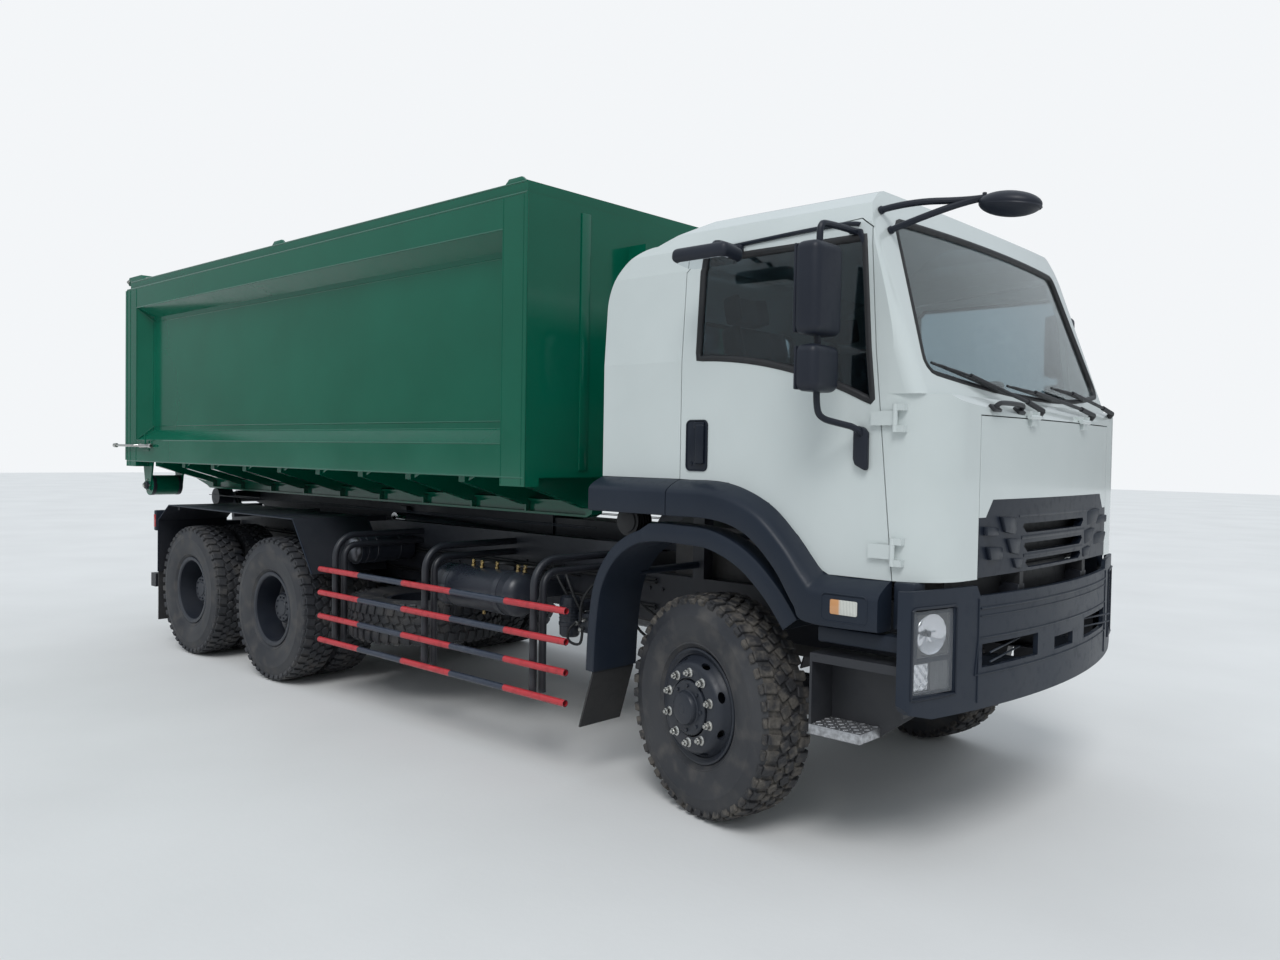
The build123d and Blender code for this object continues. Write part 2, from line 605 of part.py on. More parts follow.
# Lift cylinders, one each side of the boom: barrels from the lower ears and rods to the boom
rod_run = Vector(rod_eye_x - cylinder_base_x, 0, rod_eye_z - cylinder_base_z)
rod_direction = rod_run.normalized()
barrel_end = rod_run.length - 190
eye_thickness = 56
with BuildPart() as cylinder_barrels:
    for side in (RIGHT, LEFT):
        base = Vector(cylinder_base_x, side * cylinder_y, cylinder_base_z)
        with BuildSketch(Plane(origin=base + rod_direction * 75, z_dir=rod_direction)) as section:
            Circle(cylinder_radius)
        extrude(section.sketch, amount=barrel_end - 75)
        with BuildSketch(Plane(origin=base + rod_direction * 95, z_dir=rod_direction)) as section:
            Circle(rod_radius + fit_gap)
        extrude(section.sketch, amount=barrel_end, mode=Mode.SUBTRACT)
        with BuildSketch(Plane.XZ.offset(-side * cylinder_y)) as section:
            with Locations((base.X, base.Z)):
                Circle(48)
            with BuildLine():
                tip = base + rod_direction * 80
                Polyline((base.X, base.Z - 45), (base.X, base.Z + 45), (tip.X, tip.Z + 50), (tip.X, tip.Z - 50),
                         close=True)
            make_face()
            with Locations((base.X, base.Z)):
                Circle(25 + fit_gap, mode=Mode.SUBTRACT)
        extrude(section.sketch, amount=eye_thickness / 2, both=True)
cylinder_barrels.part.label = "cylinder_barrels"
export_step(cylinder_barrels.part, "parts/cylinder_barrels.step")

with BuildPart() as cylinder_rods:
    for side in (RIGHT, LEFT):
        base = Vector(cylinder_base_x, side * cylinder_y, cylinder_base_z)
        end = base + rod_run
        bar(tuple(base + rod_direction * 110), tuple(end - rod_direction * 30), rod_radius)
        bar((end.X, end.Y - eye_thickness / 2, end.Z), (end.X, end.Y + eye_thickness / 2, end.Z), 52)
        bar((end.X, end.Y - eye_thickness, end.Z), (end.X, end.Y + eye_thickness, end.Z), 25, mode=Mode.SUBTRACT)
cylinder_rods.part.label = "cylinder_rods"
export_step(cylinder_rods.part, "parts/cylinder_rods.step")

# Container: a hollow box with deep recessed sides inside a frame of posts and rails
recess_bottom_z = 1790
recess_top_z = 3000
recess_front_x = front_axle_x - 1485
recess_rear_x = front_axle_x - 6670
recess_slope = 40
post_width = 210
post_bottom_z = 1550
roof_inset = 22
front_wall = 60
inner_half_width = container_half_width - recess_depth - container_wall
floor_thickness = 60
roof_thickness = 70
with BuildPart() as container_body:
    block((container_rear_x, container_front_x), (-container_half_width, container_half_width),
          (container_floor_z, container_side_top_z))
    block((container_rear_x + roof_inset, container_front_x - roof_inset),
          (-container_half_width + roof_inset, container_half_width - roof_inset),
          (container_side_top_z, container_roof_z))
    for side in (RIGHT, LEFT):
        for post_x in ((container_front_x - post_width, container_front_x), (container_rear_x, container_rear_x + post_width)):
            block(post_x, span(side, container_half_width - recess_depth, container_half_width),
                  (post_bottom_z, container_floor_z))
        # Recess with sloping edges
        with BuildSketch(Plane.XZ.offset(-side * container_half_width)) as section:
            with BuildLine():
                Polyline((recess_rear_x, recess_bottom_z), (recess_front_x, recess_bottom_z),
                         (recess_front_x, recess_top_z), (recess_rear_x, recess_top_z), close=True)
            make_face()
        extrude(section.sketch, amount=side * recess_depth, taper=recess_slope, mode=Mode.SUBTRACT)
    block((container_rear_x, container_front_x - front_wall), (-inner_half_width, inner_half_width),
          (container_floor_z + floor_thickness, container_roof_z - roof_thickness), mode=Mode.SUBTRACT)
container_body.part.label = "container_body"
export_step(container_body.part, "parts/container_body.step")

# Container underframe: ribbed beams, cross members, the hook frame in front and the brackets of the rear rollers
beam_front_x = container_front_x - 80
beam_rear_x = front_axle_x - 6540
beam_corner = 60
beam_web = 16
beam_skin = 14
rib_count = 9
rib_width = 16
cross_member_width = 60
roller_x = front_axle_x - 6700
roller_z = 1375
roller_radius = 92
roller_inner_y = 800
roller_outer_y = 1070
roller_plate = 14
hook_post_y = 300
hook_post_width = 80
hook_frame_top_z = 3010
with BuildPart() as container_base:
    rib_pitch = (beam_front_x - beam_rear_x - 2 * beam_corner) / rib_count
    beam_top_z = beam_bottom_z + beam_height
    for side in (RIGHT, LEFT):
        beam_y = (beam_half_spacing - beam_flange / 2, beam_half_spacing + beam_flange / 2)
        profile_along_y([(beam_front_x - beam_corner, beam_bottom_z), (beam_front_x - 12, beam_bottom_z + 22),
                         (beam_front_x, beam_bottom_z + beam_corner), (beam_front_x, beam_top_z),
                         (container_rear_x, beam_top_z), (beam_rear_x - 60, beam_bottom_z + 25),
                         (beam_rear_x, beam_bottom_z)],
                        span(side, *beam_y))
        for rib in range(rib_count):
            rear = beam_rear_x + beam_corner + rib * rib_pitch
            for pocket in ((beam_y[0] - 1, beam_half_spacing - beam_web / 2), (beam_half_spacing + beam_web / 2, beam_y[1] + 1)):
                block((rear + rib_width / 2, rear + rib_pitch - rib_width / 2), span(side, *pocket),
                      (beam_bottom_z + beam_skin, beam_top_z - beam_skin), mode=Mode.SUBTRACT)
        for plate_y in (roller_inner_y - fit_gap - roller_plate, roller_outer_y + fit_gap):
            profile_along_y([(roller_x - 110, container_floor_z), (roller_x - 45, roller_z - 45),
                             (roller_x + 45, roller_z - 45), (roller_x + 110, container_floor_z)],
                            span(side, plate_y, plate_y + roller_plate))
        block((container_front_x, container_front_x + hook_bar_reach + 40),
              span(side, hook_post_y, hook_post_y + hook_post_width), (beam_bottom_z + 40, hook_frame_top_z))
        block((beam_front_x - 100, container_front_x + 40), span(side, hook_post_y, beam_half_spacing),
              (beam_bottom_z + 60, beam_top_z))
    bar((hook_bar_x, -hook_post_y + fit_gap, hook_bar_z), (hook_bar_x, hook_post_y - fit_gap, hook_bar_z), hook_bar_radius)
    # Cross members over the beams, notched for the beams and for the hook frame's feet
    with BuildPart(mode=Mode.PRIVATE) as cross_members:
        for rib in range(rib_count + 1):
            x = beam_rear_x + beam_corner + rib * rib_pitch
            outer = container_half_width - recess_depth
            profile_along_x([(-outer, container_floor_z), (outer, container_floor_z), (outer, container_floor_z - 45),
                             (beam_half_spacing + 60, beam_top_z - 40), (-beam_half_spacing - 60, beam_top_z - 40),
                             (-outer, container_floor_z - 45)],
                            (x - cross_member_width / 2, x + cross_member_width / 2))
        for side in (RIGHT, LEFT):
            block((beam_rear_x, container_front_x), span(side, beam_y[0] - fit_gap, beam_y[1] + fit_gap),
                  (beam_bottom_z, beam_top_z + fit_gap), mode=Mode.SUBTRACT)
            block((beam_front_x - 100 - fit_gap, container_front_x), span(side, hook_post_y - fit_gap, beam_y[1] + fit_gap),
                  (beam_bottom_z, beam_top_z + fit_gap), mode=Mode.SUBTRACT)
    add(cross_members.part)
    # Ground rollers between their plates
    for side in (RIGHT, LEFT):
        bar((roller_x, side * roller_inner_y, roller_z), (roller_x, side * roller_outer_y, roller_z), roller_radius)
container_base.part.label = "container_base"
export_step(container_base.part, "parts/container_base.step")

# Tailgate, hung from two pins above the container's rear edge, with the hinge housings on the roof corners
gate_hinge_x = container_rear_x - 20
gate_hinge_z = 3258
gate_pin_radius = 16
gate_ring_radius = 36
gate_lug_y = 985
gate_lug_width = 80
gate_half_width = 1185
gate_bottom_z = 1605
gate_frame_width = 130
gate_recess = 45
with BuildPart() as tailgate:
    gate_front_x = container_rear_x - fit_gap
    block((gate_front_x - gate_thickness, gate_front_x), (-gate_half_width, gate_half_width),
          (gate_bottom_z, container_side_top_z))
    panel_width = (2 * gate_half_width - 4 * gate_frame_width) / 3
    for place in (-1, 0, 1):
        middle_y = place * (panel_width + gate_frame_width)
        with BuildSketch(Plane.YZ.offset(gate_front_x - gate_thickness)) as section:
            with Locations((middle_y, (gate_bottom_z + container_side_top_z) / 2)):
                Rectangle(panel_width, container_side_top_z - gate_bottom_z - 2 * gate_frame_width)
        extrude(section.sketch, amount=gate_recess, taper=recess_slope, mode=Mode.SUBTRACT)
    for side in (RIGHT, LEFT):
        lug = span(side, gate_lug_y, gate_lug_y + gate_lug_width)
        profile_along_y([(gate_front_x, container_side_top_z - 90), (gate_front_x, container_side_top_z),
                         (gate_hinge_x + 30, gate_hinge_z), (gate_hinge_x - gate_ring_radius, gate_hinge_z),
                         (gate_front_x - gate_thickness - 10, container_side_top_z - 60)], lug)
        bar((gate_hinge_x, lug[0], gate_hinge_z), (gate_hinge_x, lug[1], gate_hinge_z), gate_ring_radius)
        bar((gate_hinge_x, lug[0], gate_hinge_z), (gate_hinge_x, lug[1], gate_hinge_z), gate_pin_radius + fit_gap,
            mode=Mode.SUBTRACT)
tailgate.part.label = "tailgate"
export_step(tailgate.part, "parts/tailgate.step")

with BuildPart() as gate_hinges:
    for side in (RIGHT, LEFT):
        housing_y = (gate_lug_y + gate_lug_width + moving_gap, container_half_width - roof_inset - 4)
        profile_along_y([(container_rear_x + 290, container_roof_z), (container_rear_x + 250, gate_hinge_z + 40),
                         (gate_hinge_x, gate_hinge_z + 40), (gate_hinge_x - 34, gate_hinge_z),
                         (gate_hinge_x - 10, gate_hinge_z - 34),
                         (container_rear_x + roof_inset - fit_gap, gate_hinge_z - 20),
                         (container_rear_x + roof_inset - fit_gap, container_roof_z)],
                        span(side, *housing_y))
        bar((gate_hinge_x, side * (gate_lug_y - 10), gate_hinge_z), (gate_hinge_x, side * housing_y[1], gate_hinge_z),
            gate_pin_radius)
gate_hinges.part.label = "gate_hinges"
export_step(gate_hinges.part, "parts/gate_hinges.step")

# Turnbuckle rods that close the gate, standing off the rear corner of each side
latch_z = 1740
latch_y = container_half_width + 28
latch_radius = 11
latch_front_x = front_axle_x - 6330
latch_rear_x = container_rear_x - gate_thickness - 90
with BuildPart() as gate_latches:
    for side in (RIGHT, LEFT):
        bar((latch_rear_x, side * latch_y, latch_z), (latch_front_x, side * latch_y, latch_z), latch_radius)
        for x, length, radius in ((latch_rear_x, 50, 20), (latch_front_x + 60, 240, 19)):
            bar((x, side * latch_y, latch_z), (x - length, side * latch_y, latch_z), radius)
        block((latch_front_x - 130, latch_front_x - 90), span(side, container_half_width + fit_gap, latch_y),
              (latch_z - 18, latch_z + 18))
gate_latches.part.label = "gate_latches"
export_step(gate_latches.part, "parts/gate_latches.step")

# Rear fenders: folded sheets over both rear axles, with rubber flaps behind
fender_sheet = 6
fender_inner_y = 625
fender_outer_y = 1240
fender_top_z = 1230
fender_front_x = bogie_x + 1315
fender_rear_x = bogie_x - 1285
flap_thickness = 10
flap_bottom_z = 215
with BuildPart() as rear_fenders:
    for side in (RIGHT, LEFT):
        profile_along_y(folded_sheet([(fender_front_x, 856), (bogie_x + 1045, fender_top_z),
                                      (bogie_x - 1065, fender_top_z), (fender_rear_x, 1090), (fender_rear_x, 640)],
                                     -fender_sheet),
                        span(side, fender_inner_y, fender_outer_y))
        for x in (bogie_x + 995, bogie_x, bogie_x - 1005):
            block((x - 20, x + 20), span(side, frame_half_width + fit_gap, fender_outer_y - 60),
                  (fender_top_z - 40, fender_top_z + fender_sheet / 2))
rear_fenders.part.label = "rear_fenders"
export_step(rear_fenders.part, "parts/rear_fenders.step")

front_guard_lip = [(461, 981), (359, 1108), (212, 1244), (38, 1315), (-308, 1325), (-431, 1298), (-570, 1212),
                   (-672, 1051), (-703, 605)]
front_guard_sheet = 8
front_guard_inner_y = 885
front_guard_outer_y = 1212
with BuildPart() as front_mudguards:
    for side in (RIGHT, LEFT):
        profile_along_y(folded_sheet([(front_axle_x + x, z) for x, z in front_guard_lip], -front_guard_sheet),
                        span(side, front_guard_inner_y, front_guard_outer_y))
        for x, z in ((front_axle_x - 250, 1312), (front_axle_x - 640, 1120)):
            bar((x, side * (frame_half_width + 20 + fit_gap), z), (x, side * (front_guard_inner_y + 60), z), 20)
front_mudguards.part.label = "front_mudguards"
export_step(front_mudguards.part, "parts/front_mudguards.step")

with BuildPart() as mudflaps:
    for side in (RIGHT, LEFT):
        block((fender_rear_x - fender_sheet - fit_gap - flap_thickness, fender_rear_x - fender_sheet - fit_gap),
              span(side, fender_inner_y, fender_outer_y - 10), (flap_bottom_z, 700))
        top = (front_axle_x - 703, 680)
        profile_along_y(folded_sheet([(top[0] - front_guard_sheet - fit_gap, top[1]),
                                      (top[0] - front_guard_sheet - fit_gap, top[1] - 80),
                                      (front_axle_x - 806, 300)], -flap_thickness),
                        span(side, front_guard_inner_y + 10, front_guard_outer_y - 10))
mudflaps.part.label = "mudflaps"
export_step(mudflaps.part, "parts/mudflaps.step")

# Side guards: tubes on bent posts that hang out from the frame
guard_y = 1200
guard_radius = 19
guard_wall = 3
guard_heights = (900, 735, 570, 405)
guard_front_x = front_axle_x - 920
guard_rear_x = front_axle_x - 3430
post_stations = (-1230, -2250, -3300)
post_radius = 22
post_top_z = 1225
post_bend_radius = 150
post_pair_pitch = 70
with BuildPart() as guard_rails:
    for side in (RIGHT, LEFT):
        for height in guard_heights:
            with BuildSketch(Plane.YZ.offset(guard_rear_x)) as section:
                with Locations((side * guard_y, height)):
                    Circle(guard_radius)
                    Circle(guard_radius - guard_wall, mode=Mode.SUBTRACT)
            extrude(section.sketch, amount=guard_front_x - guard_rear_x)
guard_rails.part.label = "guard_rails"
export_step(guard_rails.part, "parts/guard_rails.step")

with BuildPart() as guard_posts:
    for side in (RIGHT, LEFT):
        for station in post_stations:
            x = front_axle_x + station
            for nest in (0, 1):
                outer_y = guard_y - guard_radius - fit_gap - post_radius - nest * post_pair_pitch
                top_z = frame_top_z + 100 - nest * post_pair_pitch
                with BuildLine() as route:
                    FilletPolyline((x, side * (frame_half_width + fit_gap), top_z), (x, side * outer_y, top_z),
                                   (x, side * outer_y, guard_heights[-1] - 10), radius=post_bend_radius - nest * 60)
                with BuildSketch(Plane(origin=route.line @ 0, z_dir=route.line % 0)) as section:
                    Circle(post_radius)
                sweep(section.sketch, path=route.line)
guard_posts.part.label = "guard_posts"
export_step(guard_posts.part, "parts/guard_posts.step")

# Air tank on the right, fuel tank and battery box on the left, each on brackets from its rail
air_tank_radius = 135
air_tank_y = 880
air_tank_z = 880
air_tank_dome = 60
air_tank_plug = 18
with BuildPart() as air_tank:
    tank_front = front_axle_x - 1590
    tank_rear = front_axle_x - 2430
    with BuildSketch(Plane.XZ.offset(air_tank_y)) as section:
        with BuildLine():
            Polyline((tank_front, air_tank_z + air_tank_plug), (tank_front, air_tank_z), (tank_rear, air_tank_z),
                     (tank_rear, air_tank_z + air_tank_plug))
            ThreePointArc((tank_rear, air_tank_z + air_tank_plug),
                          (tank_rear + air_tank_dome * 0.3, air_tank_z + air_tank_radius * 0.75),
                          (tank_rear + air_tank_dome, air_tank_z + air_tank_radius))
            Line((tank_rear + air_tank_dome, air_tank_z + air_tank_radius),
                 (tank_front - air_tank_dome, air_tank_z + air_tank_radius))
            ThreePointArc((tank_front - air_tank_dome, air_tank_z + air_tank_radius),
                          (tank_front - air_tank_dome * 0.3, air_tank_z + air_tank_radius * 0.75),
                          (tank_front, air_tank_z + air_tank_plug))
        make_face()
    revolve(section.sketch, axis=Axis((tank_rear, -air_tank_y, air_tank_z), (1, 0, 0)))
    for x in (tank_front - 170, tank_rear + 170):
        block((x - 25, x + 25), (-air_tank_y + 40, -frame_half_width - fit_gap), (air_tank_z - 60, air_tank_z + 60))
air_tank.part.label = "air_tank"
export_step(air_tank.part, "parts/air_tank.step")

fuel_tank_front = front_axle_x - 1350
fuel_tank_rear = front_axle_x - 2480
fuel_tank_y = (470, 1030)
fuel_tank_z = (480, 1040)
fuel_tank_corner = 90
with BuildPart() as fuel_tank:
    with BuildSketch(Plane.YZ.offset(fuel_tank_rear)) as section:
        with Locations((sum(fuel_tank_y) / 2, sum(fuel_tank_z) / 2)):
            RectangleRounded(fuel_tank_y[1] - fuel_tank_y[0], fuel_tank_z[1] - fuel_tank_z[0], fuel_tank_corner)
    extrude(section.sketch, amount=fuel_tank_front - fuel_tank_rear)
    for x in (fuel_tank_front - 250, fuel_tank_rear + 250):
        block((x - 30, x + 30), (frame_half_width + fit_gap, fuel_tank_y[0] + 20), (fuel_tank_z[0] + 300, frame_top_z - 20))
    bar((fuel_tank_front - 200, fuel_tank_y[1] - 90, fuel_tank_z[1] - 40), (fuel_tank_front - 200, fuel_tank_y[1] - 60, fuel_tank_z[1] + 50), 45)
    # Battery box behind it
    block((front_axle_x - 3230, front_axle_x - 2620), (480, 1060), (600, 960))
    block((front_axle_x - 3160, front_axle_x - 2690), (frame_half_width + fit_gap, 482), (780, 940))
    block((front_axle_x - 3215, front_axle_x - 2635), (490, 1050), (960, 985))
fuel_tank.part.label = "fuel_tank_and_battery"
export_step(fuel_tank.part, "parts/fuel_tank_and_battery.step")


def front_outline(z, nose_x, half_width, corner_radius, rear_x, bow_radius=cab_front_radius):
    """A plan outline with a gently bowed front, round front corners and a straight rear."""
    bow_x = nose_x - bow_radius
    corner_y = half_width - corner_radius
    corner_x = bow_x + math.sqrt((bow_radius - corner_radius) ** 2 - corner_y ** 2)
    stretch = bow_radius / (bow_radius - corner_radius)
    front = (bow_x + (corner_x - bow_x) * stretch, corner_y * stretch)
    turn = math.atan2(front[1] - corner_y, front[0] - corner_x)
    middle = (turn + math.pi / 2) / 2
    shoulder = (corner_x + corner_radius * math.cos(middle), corner_y + corner_radius * math.sin(middle))
    with BuildSketch(Plane.XY.offset(z)) as outline:
        with BuildLine():
            Line((rear_x, -half_width), (corner_x, -half_width))
            ThreePointArc((corner_x, -half_width), (shoulder[0], -shoulder[1]), (front[0], -front[1]))
            ThreePointArc((front[0], -front[1]), (nose_x, 0), front)
            ThreePointArc(front, shoulder, (corner_x, half_width))
            Line((corner_x, half_width), (rear_x, half_width))
            Line((rear_x, half_width), (rear_x, -half_width))
        make_face()
    return outline.sketch


def cab_volume(inset):
    """The cab's outer form, every surface set inward by the inset."""
    side = cab_side_y - inset
    rear = cab_rear_x + inset
    top_slant = math.sqrt(1 + windscreen_lean ** 2)
    with BuildPart() as volume:
        extrude(front_outline(cab_base_z, cab_nose_x - inset, side, cab_corner_radius - inset, rear - 100),
                amount=cowl_z - inset - cab_base_z)
        # The front edge below the windscreen slopes back
        slope_x = cab_nose_x - inset * (1 + math.sqrt(2))
        profile_along_y([(slope_x + 200, cowl_low_z - 200 + inset), (slope_x - 300, cowl_low_z + 300 + inset),
                         (slope_x + 200, cowl_low_z + 300 + inset)],
                        (-cab_side_y, cab_side_y), mode=Mode.SUBTRACT)
        extrude(front_outline(cowl_z - inset, cab_nose_x - cowl_depth - inset, side,
                              max(pillar_corner_radius - inset, 5), rear - 100),
                amount=(roof_z + 60 - cowl_z) * top_slant, dir=(-windscreen_lean, 0, 1))
        # Side view: the rounded rear edge and the bowed roof
        with BuildSketch(Plane.XZ.offset(side_half_width)) as side_view:
            with BuildLine():
                rear_curve = (front_axle_x - 430, 2790 - inset)
                roof_crest = (front_axle_x + 300, roof_z - inset)
                roof_front = (front_axle_x + 900, 2835 - inset)
                Line((cab_nose_x + 100, cab_base_z - 50), (rear, cab_base_z - 50))
                Line((rear, cab_base_z - 50), (rear, 2490))
                ThreePointArc((rear, 2490), (front_axle_x - 642 + inset * 0.7, 2702 - inset * 0.7), rear_curve)
                ThreePointArc(rear_curve, (front_axle_x - 60, 2912 - inset), roof_crest)
                ThreePointArc(roof_crest, (front_axle_x + 620, 2946 - inset), roof_front)
                Line(roof_front, (cab_nose_x + 100, 2700))
                Line((cab_nose_x + 100, 2700), (cab_nose_x + 100, cab_base_z - 50))
            make_face()
        extrude(side_view.sketch, amount=-2 * side_half_width, mode=Mode.INTERSECT)
        # Front view: sides that lean inward above the windows, and the roof's rounded edges
        roof_edge = [(side + 64, cab_base_z - 50)]
        roof_edge += [(side - inward, z - inset) for inward, z in roof_edge_steps]
        with BuildSketch(Plane.YZ.offset(cab_rear_x - 200)) as front_view:
            with BuildLine():
                Polyline(*roof_edge, *[(-y, z) for y, z in roof_edge[::-1]], close=True)
            make_face()
        extrude(front_view.sketch, amount=cab_nose_x - cab_rear_x + 400, mode=Mode.INTERSECT)
    return volume.part


cab_outer = cab_volume(0)
cab_inner = cab_volume(cab_wall)
glass_outer = cab_volume(glass_setback)
glass_inner = cab_volume(glass_setback + glass_thickness)

# Side view of the cab's lower edge over the wheel, and of the black lip below it, as (forward of the axle, z)
skirt_line = ((-206, 1627), (94, 1618), (326, 1534), (488, 1395), (605, 1258), (643, 1240))
lip_line = ((-206, 1450), (122, 1450), (291, 1384), (435, 1247), (534, 1112), (575, 1035))
door_rear_x = front_axle_x - 206
door_front_low_x = front_axle_x + 945
door_front_high_x = front_axle_x + 800
door_bottom_z = 1035
door_top_z = 2740
door_hinge_x = front_axle_x + 950
door_hinge_y = cab_side_y + 16
door_hinge_levels = (1330, 1880)
door_reach = cab_wall + 80
flap_hinge_x = cab_nose_x + 8
flap_hinge_z = cowl_low_z + 5
flap_hinge_y = 300
hinge_radius = 11
hinge_bore = 5.3
hinge_leaf = 60
hinge_lug = 28
window_front_low = (front_axle_x + 838, 1975)
window_front_high = (front_axle_x + 765, 2680)
window_rear_x = front_axle_x - 105
window_rear_low_z = 2205


def skirt_points(rise):
    """The lower edge as points in the part's frame, raised by the given amount."""
    return [(cab_rear_x - 100, skirt_line[0][1] + rise)] + [(front_axle_x + x, z + rise) for x, z in skirt_line]


def door_outline(inset):
    """The door's side view as a face, drawn in by the inset all round."""
    with BuildSketch(Plane.XZ) as outline:
        with BuildLine():
            Polyline((door_rear_x, door_bottom_z), (door_rear_x, door_top_z - 110), (door_rear_x + 90, door_top_z - 30),
                     (door_front_high_x - 60, door_top_z + 25), (door_front_high_x, door_top_z - 20),
                     (door_front_low_x, cab_base_z), (door_front_low_x + 5, door_bottom_z), close=True)
        make_face()
        offset(amount=-inset, kind=Kind.INTERSECTION, mode=Mode.REPLACE)
    return outline.sketch


def window_outline(inset):
    """The door window's side view as a face, drawn in by the inset all round."""
    with BuildSketch(Plane.XZ) as outline:
        with BuildLine():
            Polyline((window_rear_x, window_rear_low_z), (window_rear_x, window_front_high[1] - 40),
                     (window_rear_x + 40, window_front_high[1]), window_front_high, window_front_low)
            ThreePointArc(window_front_low, (front_axle_x + 450, 2125), (window_rear_x, window_rear_low_z))
        make_face()
        offset(amount=-inset, kind=Kind.INTERSECTION, mode=Mode.REPLACE)
    return outline.sketch


def across(outline, side, inner, outer, mode):
    """A side-view face extruded between two distances from the centre line, on one side."""
    face = outline.moved(Location((0, side * inner, 0)))
    extrude(face, amount=side * (inner - outer), mode=mode)


# The cab's shell: hollow, with the door, windscreen and rear window openings cut through its walls
windscreen_outline = ((1035, 2105), (915, 2775))
windscreen_dip = 75
windscreen_corner = 60
rear_window = ((0, 2080), (1150, 430))
floor_thickness_cab = 45
hinge_lug_radius = 42
with BuildPart() as cab_interior:
    add(cab_inner)
    profile_along_y(skirt_points(floor_thickness_cab) + [(cab_nose_x, cab_base_z + floor_thickness_cab),
                                                         (cab_nose_x, cab_base_z - 200), (cab_rear_x - 100, cab_base_z - 200)],
                    (-cab_side_y, cab_side_y), mode=Mode.SUBTRACT)

front_panel_half_width = 800
front_panel_top_z = cowl_low_z
front_panel_bottom_z = cab_base_z
grille_brow_half_width = 680
grille_shoulder_half_width = 740
grille_top_z = 1575
grille_shoulder_z = 1500


def trapezoid(x, bottom, top, inset):
    """A front-view trapezoid of two (half width, z) rows with a dipping foot, on a plane across the truck."""
    with BuildSketch(Plane.YZ.offset(x)) as outline:
        with BuildLine():
            Polyline((bottom[0], bottom[1]), (top[0], top[1]), (-top[0], top[1]), (-bottom[0], bottom[1]))
            ThreePointArc((-bottom[0], bottom[1]), (0, bottom[1] - windscreen_dip), (bottom[0], bottom[1]))
        make_face()
        fillet(outline.vertices(), windscreen_corner)
        offset(amount=-inset, mode=Mode.REPLACE)
    return outline.sketch


hinge_lug_rows = ((-hinge_lug, -fit_gap), (hinge_leaf + fit_gap, hinge_leaf + hinge_lug))
with BuildPart() as cab_shell:
    add(cab_outer)
    profile_along_y(skirt_points(0) + [(front_axle_x + 643, cab_base_z - 200), (cab_rear_x - 100, cab_base_z - 200)],
                    (-cab_side_y - 1, cab_side_y + 1), mode=Mode.SUBTRACT)
    add(cab_interior.part, mode=Mode.SUBTRACT)
    for side in (RIGHT, LEFT):
        across(door_outline(0), side, cab_side_y - door_reach, cab_side_y + 50, Mode.SUBTRACT)
        # Lug of the tilt hinge below the nose
        profile_along_y([(cab_hinge_x - hinge_lug_radius - 60, cab_base_z + 5), (cab_hinge_x - hinge_lug_radius, cab_hinge_z),
                         (cab_hinge_x - 25, cab_hinge_z - 34), (cab_hinge_x + 25, cab_hinge_z - 34),
                         (cab_hinge_x + hinge_lug_radius - 12, cab_hinge_z), (cab_hinge_x + hinge_lug_radius - 12, cab_base_z + 5)],
                        span(side, cab_hinge_y - hinge_lug_width / 2, cab_hinge_y + hinge_lug_width / 2))
        bar((cab_hinge_x, side * (cab_hinge_y - 60), cab_hinge_z), (cab_hinge_x, side * (cab_hinge_y + 60), cab_hinge_z),
            cab_hinge_pin + fit_gap, mode=Mode.SUBTRACT)
    extrude(trapezoid(front_axle_x + 500, *windscreen_outline, 0), amount=900, mode=Mode.SUBTRACT)
    with BuildSketch(Plane.YZ.offset(cab_rear_x - 10)) as section:
        with Locations((rear_window[0][0], rear_window[0][1] + rear_window[1][1] / 2)):
            RectangleRounded(rear_window[1][0], rear_window[1][1], windscreen_corner)
    extrude(section.sketch, amount=cab_wall + 60, mode=Mode.SUBTRACT)
    block((front_axle_x + 1000, cab_nose_x + 10), (-front_panel_half_width, front_panel_half_width),
          (front_panel_bottom_z + floor_thickness_cab, front_panel_top_z), mode=Mode.SUBTRACT)
    block((front_axle_x + 1110, cab_nose_x + 10), (-front_panel_half_width, front_panel_half_width),
          (front_panel_bottom_z - 1, front_panel_top_z), mode=Mode.SUBTRACT)
    for side in (RIGHT, LEFT):
        for low, high in hinge_lug_rows:
            for level in door_hinge_levels:
                place = (door_hinge_x, side * door_hinge_y)
                bar((*place, level + low), (*place, level + high), hinge_radius)
                block((door_hinge_x + 2, door_hinge_x + 40), span(side, cab_side_y - 30, door_hinge_y + 2),
                      (level + low, level + high))
            bar((flap_hinge_x, side * (flap_hinge_y + low), flap_hinge_z),
                (flap_hinge_x, side * (flap_hinge_y + high), flap_hinge_z), hinge_radius)
            block((cab_nose_x - 60, flap_hinge_x + 2), span(side, flap_hinge_y + low, flap_hinge_y + high),
                  (flap_hinge_z + 5, flap_hinge_z + 26))
        for level in door_hinge_levels:
            bar((door_hinge_x, side * door_hinge_y, level - hinge_lug),
                (door_hinge_x, side * door_hinge_y, level + hinge_leaf + hinge_lug), hinge_bore - fit_gap)
        bar((flap_hinge_x, side * (flap_hinge_y - hinge_lug), flap_hinge_z),
            (flap_hinge_x, side * (flap_hinge_y + hinge_leaf + hinge_lug), flap_hinge_z), hinge_bore - fit_gap)
cab_shell.part.label = "cab_shell"
export_step(cab_shell.part, "parts/cab_shell.step")

